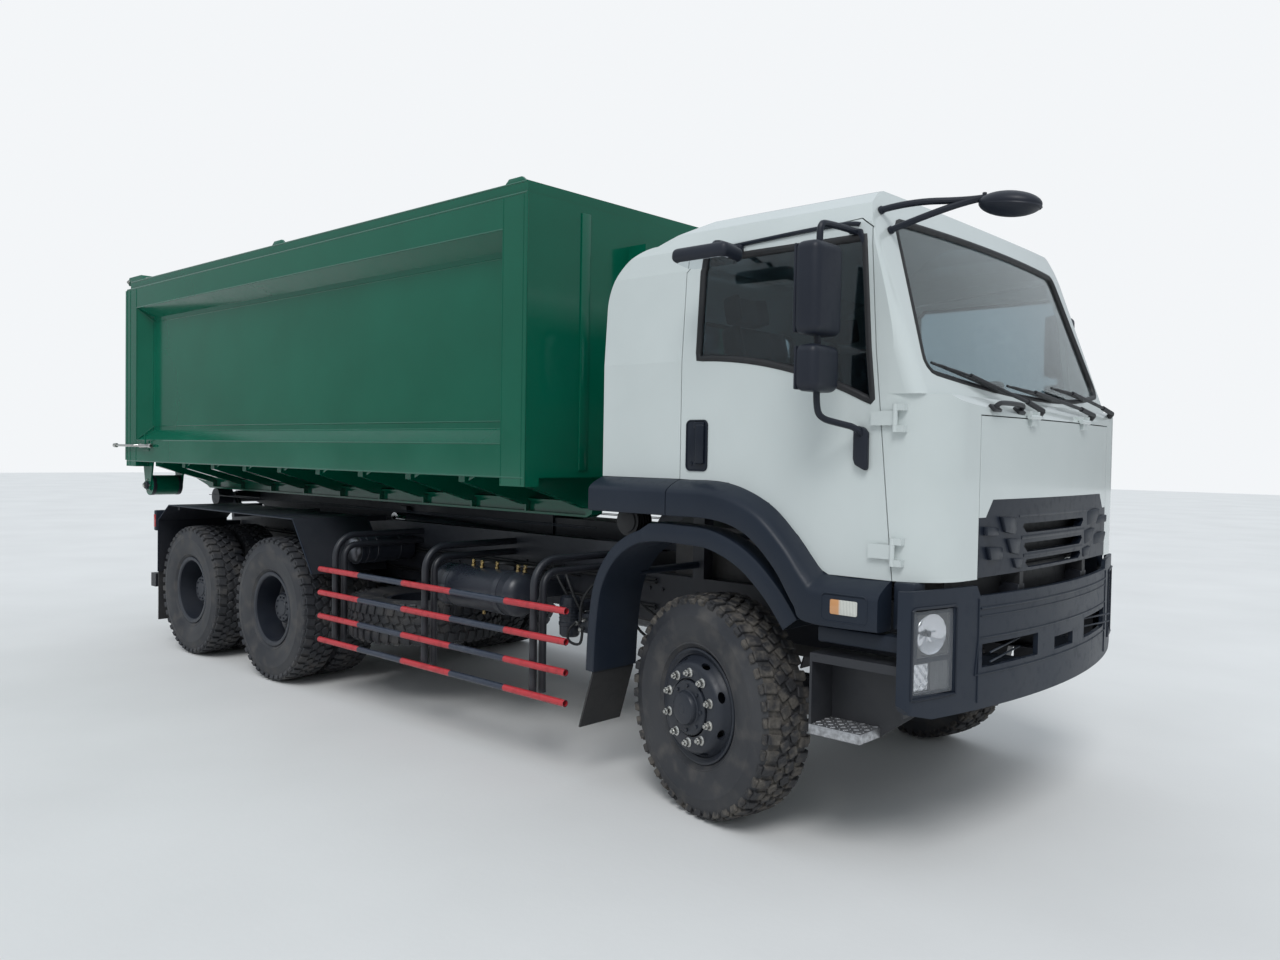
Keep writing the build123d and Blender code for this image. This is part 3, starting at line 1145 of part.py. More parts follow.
# Front flap below the windscreen, hinged along its top edge, with the grille set in it
flap_thickness_front = 40
with BuildPart() as flap_zone:
    add(cab_outer)
    add(cab_volume(flap_thickness_front), mode=Mode.SUBTRACT)
    block((front_axle_x + 1000, cab_nose_x + 50),
          (-front_panel_half_width + panel_gap, front_panel_half_width - panel_gap),
          (front_panel_bottom_z + moving_gap, front_panel_top_z - panel_gap), mode=Mode.INTERSECT)

grille_slots = ((1440, 390), (1352, 375), (1276, 355))
grille_slot_height = 42


def grille_outline(x, inset):
    """The grille in front view on a plane across the truck: the flap's full width below a narrower brow."""
    half = front_panel_half_width + 50
    right = [(half, front_panel_bottom_z - 50), (half, grille_shoulder_z),
             (grille_shoulder_half_width, grille_shoulder_z), (grille_brow_half_width, grille_top_z)]
    with BuildSketch(Plane.YZ.offset(x)) as outline:
        with BuildLine():
            Polyline(*right, *[(-y, z) for y, z in right[::-1]], close=True)
        make_face()
        offset(amount=-inset, kind=Kind.INTERSECTION, mode=Mode.REPLACE)
    return outline.sketch


grille_start_x = front_axle_x + 1000
with BuildPart() as front_panel:
    add(flap_zone.part)
    extrude(grille_outline(grille_start_x, 0), amount=300, mode=Mode.SUBTRACT)
    for side in (RIGHT, LEFT):
        ends = [(flap_hinge_x, side * (flap_hinge_y + along), flap_hinge_z) for along in (0, hinge_leaf)]
        bar(*ends, hinge_radius)
        block((cab_nose_x - 34, flap_hinge_x + 2), span(side, flap_hinge_y, flap_hinge_y + hinge_leaf),
              (flap_hinge_z - 40, front_panel_top_z - panel_gap))
        bar(*ends, hinge_bore, mode=Mode.SUBTRACT)
front_panel.part.label = "front_panel"
export_step(front_panel.part, "parts/front_panel.step")

with BuildPart() as grille:
    add(flap_zone.part)
    extrude(grille_outline(grille_start_x, fit_gap), amount=300, mode=Mode.INTERSECT)
    for slot_z, slot_half in grille_slots:
        with BuildSketch(Plane.YZ.offset(grille_start_x)) as section:
            with BuildLine():
                low = slot_z - grille_slot_height / 2
                high = slot_z + grille_slot_height / 2
                Polyline((-slot_half + 40, low), (slot_half - 40, low), (slot_half, slot_z + 6), (slot_half - 12, high),
                         (-slot_half + 12, high), (-slot_half, slot_z + 6), close=True)
            make_face()
        extrude(section.sketch, amount=300, mode=Mode.SUBTRACT)
grille.part.label = "grille"
export_step(grille.part, "parts/grille.step")

# Glass: each pane follows its panel's curve, set back from the outer face
with BuildPart() as pane_zone:
    add(glass_outer)
    add(glass_inner, mode=Mode.SUBTRACT)
with BuildPart() as cab_glass:
    add(pane_zone.part)
    extrude(trapezoid(front_axle_x + 500, *windscreen_outline, fit_gap), amount=900, mode=Mode.INTERSECT)
    with BuildSketch(Plane.YZ.offset(cab_rear_x + glass_setback)) as section:
        with Locations((rear_window[0][0], rear_window[0][1] + rear_window[1][1] / 2)):
            RectangleRounded(rear_window[1][0] - 2 * fit_gap, rear_window[1][1] - 2 * fit_gap, windscreen_corner)
    extrude(section.sketch, amount=glass_thickness)
cab_glass.part.label = "cab_glass"
export_step(cab_glass.part, "parts/cab_glass.step")

# Doors, each with its own lower trim, window and mirrors
flare_depth = side_half_width - cab_side_y
flare_slope = 32
with BuildPart() as door_zone:
    add(cab_outer)
    profile_along_y(skirt_points(0) + [(front_axle_x + 643, cab_base_z - 200), (cab_rear_x - 100, cab_base_z - 200)],
                    (-cab_side_y - 1, cab_side_y + 1), mode=Mode.SUBTRACT)
    add(cab_inner, mode=Mode.SUBTRACT)


def flare_part(side, x_range, inner_y):
    """The black lower side trim: a flare that stands out over the wheel, cut to a stretch in X."""
    top = skirt_points(-fit_gap) + [(cab_nose_x, cab_base_z - fit_gap)]
    outline = top + [(cab_nose_x, door_bottom_z - 150), (cab_rear_x - 100, door_bottom_z - 150)]
    arch = [(cab_rear_x - 120, lip_line[0][1])] + [(front_axle_x + x, z) for x, z in lip_line]
    with BuildPart() as band:
        profile_along_y(outline, span(side, inner_y, cab_side_y))
        with BuildSketch(Plane.XZ.offset(-side * cab_side_y)) as section:
            with BuildLine():
                Polyline(*outline, close=True)
            make_face()
        extrude(section.sketch, amount=-side * flare_depth, taper=flare_slope)
        profile_along_y(arch + [(front_axle_x + 575, 800), (cab_rear_x - 120, 800)],
                        span(side, 0, side_half_width + 10), mode=Mode.SUBTRACT)
        block(x_range, span(side, inner_y - 10, side_half_width + 10), (door_bottom_z, cowl_z), mode=Mode.INTERSECT)
    return band.part


def corner_piece(side):
    """The black piece below the cab's front corner, kept inside the sweep of the door's trim."""
    with BuildPart() as corner:
        extrude(front_outline(door_bottom_z + 5, cab_nose_x + 8, cab_side_y + 8, cab_corner_radius, cab_rear_x),
                amount=cab_base_z - fit_gap - door_bottom_z - 5)
        block((door_front_low_x + 2 * panel_gap, front_axle_x + 1052), span(side, cab_side_y - 90, cab_side_y + 20),
              (door_bottom_z, cab_base_z), mode=Mode.INTERSECT)
    return corner.part


mirror_y = 1350
mirror_rounding = 26
mirror_head_z = (2690, 2724)
mirror_head_y = cab_side_y - 36 + fit_gap
for side_name, side in sides:
    outer_zone = (span(side, cab_side_y - door_reach + panel_gap, cab_side_y + 100))
    with BuildPart() as door_shell:
        add(door_zone.part)
        with BuildSketch(Plane.XZ) as keep:
            add(door_outline(panel_gap))
        extrude(keep.sketch.moved(Location((0, outer_zone[1], 0))), amount=outer_zone[1] - outer_zone[0],
                mode=Mode.INTERSECT)
        across(window_outline(0), side, cab_side_y - cab_wall - 90, cab_side_y + 110, Mode.SUBTRACT)
        for level in door_hinge_levels:
            ends = [(door_hinge_x, side * door_hinge_y, level + along) for along in (0, hinge_leaf)]
            bar(*ends, hinge_radius)
            block((door_hinge_x - 110, door_hinge_x - 2), span(side, cab_side_y + moving_gap, door_hinge_y + 2),
                  (level, level + hinge_leaf))
            block((door_hinge_x - 110, door_hinge_x - 80), span(side, cab_side_y - 8, door_hinge_y + 2),
                  (level, level + hinge_leaf))
            bar(*ends, hinge_bore, mode=Mode.SUBTRACT)
    door_shell.part.label = "door_shell_" + side_name
    export_step(door_shell.part, "parts/door_shell_" + side_name + ".step")

    with BuildPart() as door_glass:
        add(pane_zone.part)
        extrude(window_outline(fit_gap).moved(Location((0, outer_zone[1], 0))), amount=outer_zone[1] - outer_zone[0],
                mode=Mode.INTERSECT)
    door_glass.part.label = "door_glass_" + side_name
    export_step(door_glass.part, "parts/door_glass_" + side_name + ".step")

    with BuildPart() as door_trim:
        add(flare_part(side, (door_rear_x + panel_gap, door_front_low_x - panel_gap), cab_side_y - cab_wall))
    door_trim.part.label = "door_trim_" + side_name
    export_step(door_trim.part, "parts/door_trim_" + side_name + ".step")

    # Mirrors on a bowed arm between the door's foot and its top corner
    with BuildPart() as door_mirrors:
        arm_x = front_axle_x + 700
        foot = (front_axle_x + 800, side * (cab_side_y + 10), 1830)
        elbow = (arm_x, side * mirror_y, 1940)
        crown = (arm_x, side * mirror_y, 2700)
        head = (front_axle_x + 720, side * (mirror_head_y + 8), 2707)
        block((front_axle_x + 765, front_axle_x + 830), span(side, cab_side_y + fit_gap, cab_side_y + 20), (1790, 1870))
        block((front_axle_x + 690, front_axle_x + 750), span(side, mirror_head_y, mirror_head_y + 14), mirror_head_z)
        bar(foot, elbow, 14)
        bar((elbow[0], elbow[1], elbow[2] - 8), (crown[0], crown[1], crown[2] + 8), 14)
        bar(crown, head, 14)
        add(rounded_block((front_axle_x + 640, front_axle_x + 760), span(side, mirror_y - 105, mirror_y + 105),
                          (2240, 2620), mirror_rounding))
        add(rounded_block((front_axle_x + 645, front_axle_x + 755), span(side, mirror_y - 100, mirror_y + 100),
                          (2010, 2205), mirror_rounding))
        if side == RIGHT:
            add(rounded_block((front_axle_x - 60, front_axle_x + 260), span(side, mirror_y - 90, mirror_y + 60),
                              (2605, 2680), mirror_rounding))
            bar((front_axle_x + 100, -mirror_y, 2650), (front_axle_x + 100, -mirror_head_y - 8, 2707), 14)
            block((front_axle_x + 70, front_axle_x + 130), span(side, mirror_head_y, mirror_head_y + 14), mirror_head_z)
    door_mirrors.part.label = "door_mirrors_" + side_name
    export_step(door_mirrors.part, "parts/door_mirrors_" + side_name + ".step")

# Cab flares behind the doors and the corner pieces ahead of them
with BuildPart() as cab_flares:
    for side in (RIGHT, LEFT):
        add(flare_part(side, (cab_rear_x, door_rear_x), cab_side_y - cab_wall - 40))
        add(corner_piece(side))
cab_flares.part.label = "cab_flares"
export_step(cab_flares.part, "parts/cab_flares.step")

# Front bumper: a shell with lamp bays, a long air slot each side and a small one in the middle
bumper_nose_x = front_axle_x + 1245
bumper_bow_radius = 4400
bumper_rear_x = front_axle_x + 1030
bumper_bottom_z = 690
bumper_end_bottom_z = 770
bumper_top_z = 1170
bumper_end_top_z = 1215
bumper_wall = 22
bumper_corner = 60
lamp_y = (955, 1205)
lamp_z = (785, 1140)
air_slots = ((300, 770, 865, 965), (-120, 120, 865, 925))


def lamp_outline(side, x, inset):
    """A lamp bay in front view: a tall four-cornered opening that leans with the bumper's end."""
    y = (lamp_y[0] + inset, lamp_y[1] - inset)
    with BuildSketch(Plane.YZ.offset(x)) as outline:
        with BuildLine():
            Polyline((side * y[0], lamp_z[0] + inset), (side * (y[1] - 10), lamp_z[0] + 12 + inset),
                     (side * y[1], lamp_z[1] - inset), (side * (y[0] + 8), lamp_z[1] - inset), close=True)
        make_face()
    return outline.sketch


def bumper_band(outer_inset, inner_inset):
    """The bumper's curved wall between two depths below its outer face."""
    with BuildPart() as band:
        extrude(front_outline(bumper_bottom_z, bumper_nose_x - outer_inset, side_half_width - outer_inset,
                              bumper_corner - outer_inset, bumper_rear_x - 150, bumper_bow_radius),
                amount=bumper_end_top_z - bumper_bottom_z)
        extrude(front_outline(bumper_bottom_z - 1, bumper_nose_x - inner_inset, side_half_width - inner_inset,
                              bumper_corner - inner_inset, bumper_rear_x - 160, bumper_bow_radius),
                amount=bumper_end_top_z - bumper_bottom_z + 2, mode=Mode.SUBTRACT)
        block((bumper_rear_x, bumper_nose_x + 10), (-side_half_width - 10, side_half_width + 10),
              (bumper_bottom_z - 5, bumper_end_top_z + 5), mode=Mode.INTERSECT)
    return band.part


with BuildPart() as front_bumper:
    add(bumper_band(0, bumper_wall))
    profile_along_x([(-815, bumper_end_top_z + 1), (-790, bumper_top_z), (790, bumper_top_z),
                     (815, bumper_end_top_z + 1)],
                    (bumper_rear_x - 10, bumper_nose_x + 10), mode=Mode.SUBTRACT)
    for side in (RIGHT, LEFT):
        profile_along_x([(side * 1080, bumper_bottom_z - 1), (side * 1210, bumper_end_bottom_z - 50),
                         (side * 1300, bumper_end_bottom_z + 60), (side * 1300, bumper_bottom_z - 1)],
                        (bumper_rear_x - 10, bumper_nose_x + 10), mode=Mode.SUBTRACT)
        extrude(lamp_outline(side, bumper_rear_x + 20, 0), amount=300, mode=Mode.SUBTRACT)
        for inner, outer, low, high in air_slots:
            block((bumper_rear_x + 50, bumper_nose_x + 10), span(side, inner, outer), (low, high), mode=Mode.SUBTRACT)
        block((frame_front_x + fit_gap, bumper_nose_x - bumper_wall - 10), span(side, 340, frame_half_width),
              (frame_bottom_z + 20, frame_bottom_z + 90))
front_bumper.part.label = "front_bumper"
export_step(front_bumper.part, "parts/front_bumper.step")

lamp_depth = 34
with BuildPart() as headlamps:
    add(bumper_band(bumper_wall / 4, lamp_depth))
    with BuildPart(mode=Mode.PRIVATE) as lamp_bays:
        for side in (RIGHT, LEFT):
            extrude(lamp_outline(side, bumper_rear_x + 20, fit_gap), amount=300)
    add(lamp_bays.part, mode=Mode.INTERSECT)
headlamps.part.label = "headlamps"
export_step(headlamps.part, "parts/headlamps.step")

# Wipers and the front mirror stand on the cab's outer face


def cab_face(y, z, out):
    """A point so far off the cab's windscreen slope, or off the slope below it, along the face's own normal."""
    if z < cowl_z:
        return (cab_nose_x + cowl_low_z - z + out * math.sqrt(0.5), y, z + out * math.sqrt(0.5))
    bow = cab_front_radius - math.sqrt(cab_front_radius ** 2 - y ** 2)
    foot = Vector(cab_nose_x - cowl_depth - windscreen_lean * (z - cowl_z) - bow, y, z)
    normal = Vector(1, y / cab_front_radius, windscreen_lean).normalized()
    return tuple(foot + normal * out)


# Each wiper: its pivot, and the inner and outer ends of its blade, as (y, z)
wiper_table = (((-209, 1955), (-500, 2048), (-1000, 2140)),
               ((500, 1962), (100, 2032), (-389, 2078)),
               ((860, 1985), (640, 2062), (150, 2100)))
mirror_feet = ((-985, 2715), (-1010, 2800))
front_mirror_x = front_axle_x + 1170
with BuildPart() as wipers:
    for pivot, blade_start, blade_end in wiper_table:
        middle = ((blade_start[0] + blade_end[0]) / 2, (blade_start[1] + blade_end[1]) / 2)
        bar(cab_face(*pivot, fit_gap), cab_face(*pivot, 36), 17)
        bar(cab_face(*pivot, 29), cab_face(*middle, 20), 7)
        bar(cab_face(*blade_start, 12), cab_face(*blade_end, 12), 8)
wipers.part.label = "wipers"
export_step(wipers.part, "parts/wipers.step")

with BuildPart() as front_mirror:
    for foot_y, foot_z in mirror_feet:
        bar(cab_face(foot_y, foot_z, fit_gap), cab_face(foot_y, foot_z, 14), 18)
        bar(cab_face(foot_y, foot_z, 10), (front_mirror_x + 60, -930, 2765), 9)
    add(rounded_block((front_mirror_x, front_axle_x + 1430), (-1000, -800), (2700, 2830), 2 * mirror_rounding))
front_mirror.part.label = "front_mirror"
export_step(front_mirror.part, "parts/front_mirror.step")

# Cab interior: two seats on the raised rear floor and a dashboard with the steering wheel on the left
seat_y = 480
seat_half_width = 240
seat_floor_z = skirt_line[0][1] + floor_thickness_cab + fit_gap
with BuildPart() as seats:
    for side in (RIGHT, LEFT):
        block((front_axle_x - 190, front_axle_x + 90), span(side, seat_y - 150, seat_y + 150), (seat_floor_z, 1800))
        block((front_axle_x - 250, front_axle_x + 250), span(side, seat_y - seat_half_width, seat_y + seat_half_width),
              (1800, 1920))
        profile_along_y([(front_axle_x - 250, 1850), (front_axle_x - 150, 1920), (front_axle_x - 270, 2430),
                         (front_axle_x - 300, 2600), (front_axle_x - 380, 2600), (front_axle_x - 370, 2430)],
                        span(side, seat_y - seat_half_width + 10, seat_y + seat_half_width - 10))
seats.part.label = "seats"
export_step(seats.part, "parts/seats.step")

dash_z = (1720, 1985)
dash_x = (front_axle_x + 640, front_axle_x + 980)
wheel_hub = (front_axle_x + 500, seat_y, 2050)
wheel_lean = Vector(0.5, 0, -0.87).normalized()
with BuildPart() as dashboard:
    profile_along_y([(dash_x[0], dash_z[0]), (dash_x[1], dash_z[0]), (dash_x[1], dash_z[1]), (dash_x[0] + 120, dash_z[1] + 25),
                     (dash_x[0], dash_z[1] - 60)], (-cab_side_y + cab_wall + 55, cab_side_y - cab_wall - 55))
    block((dash_x[0] + 180, dash_x[1]), (-420, 420), (cab_base_z + floor_thickness_cab + fit_gap, dash_z[0]))
    with Locations(Plane(origin=wheel_hub, z_dir=wheel_lean)):
        Torus(215, 14)
    bar(wheel_hub, tuple(Vector(*wheel_hub) + wheel_lean * 320), 26)
    for turn in (0, 120, 240):
        rim_point = Vector(*wheel_hub) + Vector(0, 1, 0).rotate(Axis((0, 0, 0), wheel_lean), turn) * 212
        bar(tuple(Vector(*wheel_hub) + wheel_lean * 12), tuple(rim_point), 11)
dashboard.part.label = "dashboard"
export_step(dashboard.part, "parts/dashboard.step")

# Entry steps behind the bumper's ends, on arms from the rails
step_x = (front_axle_x + 600, front_axle_x + 1045)
step_y = (1020, 1200)
step_z = (552, 905)
step_sheet = 12
step_tread_rear = front_axle_x + 850
with BuildPart() as entry_steps:
    for side in (RIGHT, LEFT):
        profile_along_y([(step_x[0], step_z[0]), (step_tread_rear, step_z[0]), (step_x[1], 700), (step_x[1], step_z[1]),
                         (step_x[0], step_z[1])], span(side, step_y[0], step_y[0] + step_sheet))
        for x in (step_x[0], step_x[1] - step_sheet):
            low = step_z[0] if x == step_x[0] else 700
            block((x, x + step_sheet), span(side, *step_y), (low, step_z[1]))
        block((step_x[0], step_tread_rear), span(side, *step_y), (step_z[0], step_z[0] + 38))
        block((step_x[0], step_x[1]), span(side, *step_y), (step_z[1] - 38, step_z[1]))
        block((front_axle_x + 900, front_axle_x + 980), span(side, frame_half_width + fit_gap, step_y[0] + 4), (800, 860))
entry_steps.part.label = "entry_steps"
export_step(entry_steps.part, "parts/entry_steps.step")

# Spare wheel lying flat beside the propeller shaft, hung from the right rail
spare_centre = (middle_axle_x + 2 * tyre_radius + 15, -600, 575)
with BuildPart() as spare_tyre:
    with BuildPart(mode=Mode.PRIVATE) as rolled:
        add_tyre((0, 0, 0), (0, 1, 0))
    add(rolled.part.rotate(Axis.X, 90).moved(Location(spare_centre)))
spare_tyre.part.label = "spare_tyre"
export_step(spare_tyre.part, "parts/spare_tyre.step")

with BuildPart() as spare_rim:
    with BuildPart(mode=Mode.PRIVATE) as rolled_rim:
        add_rim((0, 0, 0), (0, 1, 0), 1)
    add(rolled_rim.part.rotate(Axis.X, -90).moved(Location(spare_centre)))
    block((spare_centre[0] - 40, spare_centre[0] + 40), (spare_centre[1] - 60, -frame_half_width - fit_gap), (770, 806))
    bar((spare_centre[0], spare_centre[1], 780), (spare_centre[0], spare_centre[1], spare_centre[2] - 190), 22)
    bar((spare_centre[0], spare_centre[1], spare_centre[2] - disc_offset + 6),
        (spare_centre[0], spare_centre[1], spare_centre[2] - disc_offset - 20), disc_bore_radius + 20)
spare_rim.part.label = "spare_rim"
export_step(spare_rim.part, "parts/spare_rim.step")

# Tail lamps on arms from the rails' rear ends
tail_lamp_x = bogie_x - 1395
with BuildPart() as tail_lamps:
    for side in (RIGHT, LEFT):
        block((tail_lamp_x - 20, tail_lamp_x), span(side, frame_half_width + fit_gap, 1000), (1000, 1060))
        block((tail_lamp_x - 45, tail_lamp_x + 10), span(side, 960, 1215), (990, 1170))
tail_lamps.part.label = "tail_lamps"
export_step(tail_lamps.part, "parts/tail_lamps.step")
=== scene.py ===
import json
import math
import bmesh
import bpy
from mathutils import Matrix, Vector


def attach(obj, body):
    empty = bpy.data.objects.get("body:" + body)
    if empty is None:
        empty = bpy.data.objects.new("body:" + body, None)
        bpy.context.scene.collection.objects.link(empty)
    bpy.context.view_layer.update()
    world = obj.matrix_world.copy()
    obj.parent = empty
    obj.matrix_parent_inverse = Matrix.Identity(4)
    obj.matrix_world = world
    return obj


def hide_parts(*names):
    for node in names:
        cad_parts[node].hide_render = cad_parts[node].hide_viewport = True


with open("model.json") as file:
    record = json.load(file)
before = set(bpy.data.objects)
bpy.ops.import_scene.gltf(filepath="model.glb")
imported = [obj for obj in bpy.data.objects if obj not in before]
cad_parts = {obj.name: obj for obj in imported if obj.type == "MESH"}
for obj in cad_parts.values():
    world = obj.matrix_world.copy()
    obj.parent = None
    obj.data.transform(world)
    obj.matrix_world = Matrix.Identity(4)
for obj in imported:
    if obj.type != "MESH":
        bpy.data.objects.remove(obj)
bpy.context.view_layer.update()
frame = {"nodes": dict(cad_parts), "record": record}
axleX = 2.838    # front axle, from the middle of the truck; the pieces below give their x from the axle
wheelZ = 0.538
right, left = -1, 1
sideNames = {right: "right", left: "left"}
print("frame loaded")

# Camera, floor and light
shot = {"place": (5.779, -4.8697, 1.7501), "yaw": 132.375, "pitch": -1.552, "roll": 0.955, "lens": 28.157}
studio = {"backdrop": (0.90, 0.92, 0.94), "floor": (0.78, 0.78, 0.77), "floorWorn": 0.93, "floorSize": 60,
          "sky": (0.86, 0.93, 1.0), "low": (0.30, 0.32, 0.33), "skyFrom": -0.05, "skyTo": 0.55, "skyLevel": 0.80,
          "keyLevel": 1.25, "keySpread": 25, "keyTurn": (38, 12, 20)}


def link(item):
    bpy.context.scene.collection.objects.link(item)
    return item


def addCamera():
    yaw, pitch, roll = (math.radians(shot[part]) for part in ("yaw", "pitch", "roll"))
    forward = Vector((math.cos(pitch) * math.cos(yaw), math.cos(pitch) * math.sin(yaw), math.sin(pitch)))
    across = forward.cross(Vector((0, 0, 1))).normalized()
    up = across.cross(forward)
    turnedAcross = across * math.cos(roll) + up * math.sin(roll)
    turnedUp = up * math.cos(roll) - across * math.sin(roll)
    data = bpy.data.cameras.new("photoCamera")
    data.lens = shot["lens"]
    data.sensor_width = 36
    data.clip_end = 200
    camera = link(bpy.data.objects.new("photoCamera", data))
    turn = Matrix((turnedAcross, turnedUp, -forward)).transposed().to_4x4()
    camera.matrix_world = Matrix.Translation(shot["place"]) @ turn
    bpy.context.scene.camera = camera


def setInputs(tree, node, inputs):
    # Each input takes a value, a colour or another node's output
    for label, value in inputs.items():
        socket = node.inputs[label]
        if isinstance(value, bpy.types.NodeSocket):
            tree.links.new(value, socket)
        else:
            socket.default_value = (*value, 1) if socket.type == "RGBA" else value


def addNode(tree, kind, inputs, output=0, **settings):
    node = tree.nodes.new("ShaderNode" + kind)
    for label, value in settings.items():
        setattr(node, label, value)
    setInputs(tree, node, inputs)
    return node.outputs[output] if node.outputs else node


def addStudio():
    world = bpy.data.worlds.new("studioWorld")
    bpy.context.scene.world = world
    world.use_nodes = True
    tree = world.node_tree
    tree.nodes.clear()
    height = addNode(tree, "SeparateXYZ", {0: addNode(tree, "TexCoord", {}, "Generated")}, "Z")
    rise = addNode(tree, "MapRange", {"From Min": studio["skyFrom"], "From Max": studio["skyTo"], "Value": height})
    sky = addNode(tree, "Mix", {"A": studio["low"], "B": studio["sky"], "Factor": rise}, "Result", data_type="RGBA")
    soft = addNode(tree, "Background", {"Color": sky, "Strength": studio["skyLevel"]})
    plain = addNode(tree, "Background", {"Color": studio["backdrop"]})
    rays = [addNode(tree, "LightPath", {}, ray) for ray in ("Is Camera Ray", "Is Transmission Ray")]
    seen = calc(tree, "MAXIMUM", *rays)
    addNode(tree, "OutputWorld", {"Surface": addNode(tree, "MixShader", {0: seen, 1: soft, 2: plain})})
    key = bpy.data.lights.new("softKey", "SUN")
    key.energy = studio["keyLevel"]
    key.angle = math.radians(studio["keySpread"])
    link(bpy.data.objects.new("softKey", key)).rotation_euler = [math.radians(turn) for turn in studio["keyTurn"]]
    mesh = bmesh.new()
    bmesh.ops.create_grid(mesh, x_segments=1, y_segments=1, size=studio["floorSize"])
    floorMesh = bpy.data.meshes.new("floor")
    mesh.to_mesh(floorMesh)
    mesh.free()
    floorMesh.materials.append(concrete())
    floor = link(bpy.data.objects.new("floor", floorMesh))


# Materials: every finish is a colour that varies over the surface, with its own gloss, dust and relief
def startMaterial(name, roughness=0.5, metallic=0.0):
    material = bpy.data.materials.new(name)
    material.use_nodes = True
    tree = material.node_tree
    shader = tree.nodes["Principled BSDF"]
    setInputs(tree, shader, {"Roughness": roughness, "Metallic": metallic})
    return material, tree, shader, addNode(tree, "TexCoord", {}, "Object")


def patches(tree, spot, scale, low, high, detail=4, stretch=(1, 1, 1)):
    # Soft patches from noise, as a factor between 0 and 1
    spot = addNode(tree, "Mapping", {"Scale": stretch, "Vector": spot})
    noise = addNode(tree, "TexNoise", {"Scale": scale, "Detail": detail, "Vector": spot})
    return addNode(tree, "MapRange", {"From Min": low, "From Max": high, "Value": noise})


def calc(tree, operation, first, second=0):
    return addNode(tree, "Math", {0: first, 1: second}, operation=operation)


def blendColour(tree, factor, first, second):
    return addNode(tree, "Mix", {"Factor": factor, "A": first, "B": second}, "Result", data_type="RGBA")


def dress(tree, shader, tint, gloss=None, relief=None, extra=()):
    # Gives the shader its colour, its gloss as (factor, smooth, rough) and its relief as (height, strength, depth)
    setInputs(tree, shader, {"Base Color": tint, **dict(extra)})
    if gloss:
        factor, smooth, rough = gloss
        spread = addNode(tree, "MapRange", {"To Min": smooth, "To Max": rough, "Value": factor})
        setInputs(tree, shader, {"Roughness": spread})
    if relief:
        height, strength, depth = relief
        bump = addNode(tree, "Bump", {"Strength": strength, "Distance": depth, "Height": height})
        setInputs(tree, shader, {"Normal": bump})


def plainFinish(name, colour, faded, gloss, dust=(0.20, 0.18, 0.15), dustTop=0.0, dustShare=0.0, grain=90.0,
                relief=0.1, reliefDepth=0.0006, metallic=0.0, coat=0.0, patchSize=1.6, shine=0.5):
    # A painted, moulded or bare surface: patchy colour, dust that gathers low down, and a fine grain
    material, tree, shader, spot = startMaterial(name, metallic=metallic)
    tone = patches(tree, spot, patchSize, 0.35, 0.68)
    tint = blendColour(tree, tone, colour, faded)
    speck = patches(tree, spot, patchSize * 14, 0.52, 0.72, detail=6)
    roughness = calc(tree, "ADD", calc(tree, "MULTIPLY", speck, 0.5), calc(tree, "MULTIPLY", tone, 0.5))
    if dustShare:
        height = addNode(tree, "SeparateXYZ", {0: spot}, "Z")
        low = addNode(tree, "MapRange", {"From Min": 0.1, "From Max": dustTop, "To Min": 1, "To Max": 0,
                                         "Value": height})
        veil = patches(tree, spot, patchSize * 2.3, 0.25, 0.8, detail=8)
        amount = calc(tree, "MULTIPLY", calc(tree, "MULTIPLY", low, veil), dustShare)
        tint = blendColour(tree, amount, tint, dust)
        roughness = calc(tree, "ADD", roughness, amount)
    extra = {"Coat Weight": coat, "Coat Roughness": 0.06} if coat else {}
    dress(tree, shader, tint, (roughness, *gloss), (patches(tree, spot, grain, 0.2, 0.8), relief, reliefDepth),
          {"Specular IOR Level": shine, **extra})
    return material


def concrete():
    material, tree, shader, spot = startMaterial("paleConcrete", roughness=0.85)
    worn = tuple(studio["floorWorn"] * part for part in studio["floor"])
    dress(tree, shader, blendColour(tree, patches(tree, spot, 0.6, 0.3, 0.7, detail=8), studio["floor"], worn),
          relief=(patches(tree, spot, 30, 0.2, 0.8, detail=8), 0.15, 0.004))
    return material


def tyreRubber():
    material, tree, shader, spot = startMaterial("tyreRubber")
    tint = blendColour(tree, patches(tree, spot, 2.4, 0.35, 0.7), (0.022, 0.024, 0.030), (0.045, 0.046, 0.050))
    dusty = patches(tree, spot, 9, 0.50, 0.75, detail=9)
    dress(tree, shader, blendColour(tree, calc(tree, "MULTIPLY", dusty, 0.55), tint, (0.13, 0.12, 0.11)),
          (dusty, 0.62, 0.9), (patches(tree, spot, 160, 0.2, 0.8), 0.25, 0.0012))
    return material


def muddyRubber():
    # Tread of the front tyres, with mud pressed between and over the lugs
    material, tree, shader, spot = startMaterial("muddyRubber")
    mud = patches(tree, spot, 16, 0.44, 0.60, detail=10)
    soil = blendColour(tree, patches(tree, spot, 40, 0.3, 0.7), (0.060, 0.054, 0.048), (0.130, 0.118, 0.104))
    dress(tree, shader, blendColour(tree, mud, (0.024, 0.024, 0.027), soil), (mud, 0.65, 0.96),
          (patches(tree, spot, 70, 0.2, 0.8, detail=10), 0.6, 0.004))
    return material


def tintedGlass(name, tint, roughness=0.015):
    material, tree, shader, spot = startMaterial(name, roughness=roughness)
    streak = patches(tree, spot, 3, 0.3, 0.75, detail=8, stretch=(1, 1, 0.3))
    dress(tree, shader, blendColour(tree, streak, tint, tuple(0.9 * part for part in tint)),
          (streak, roughness, roughness + 0.03), extra={"Transmission Weight": 1, "IOR": 1.52})
    return material


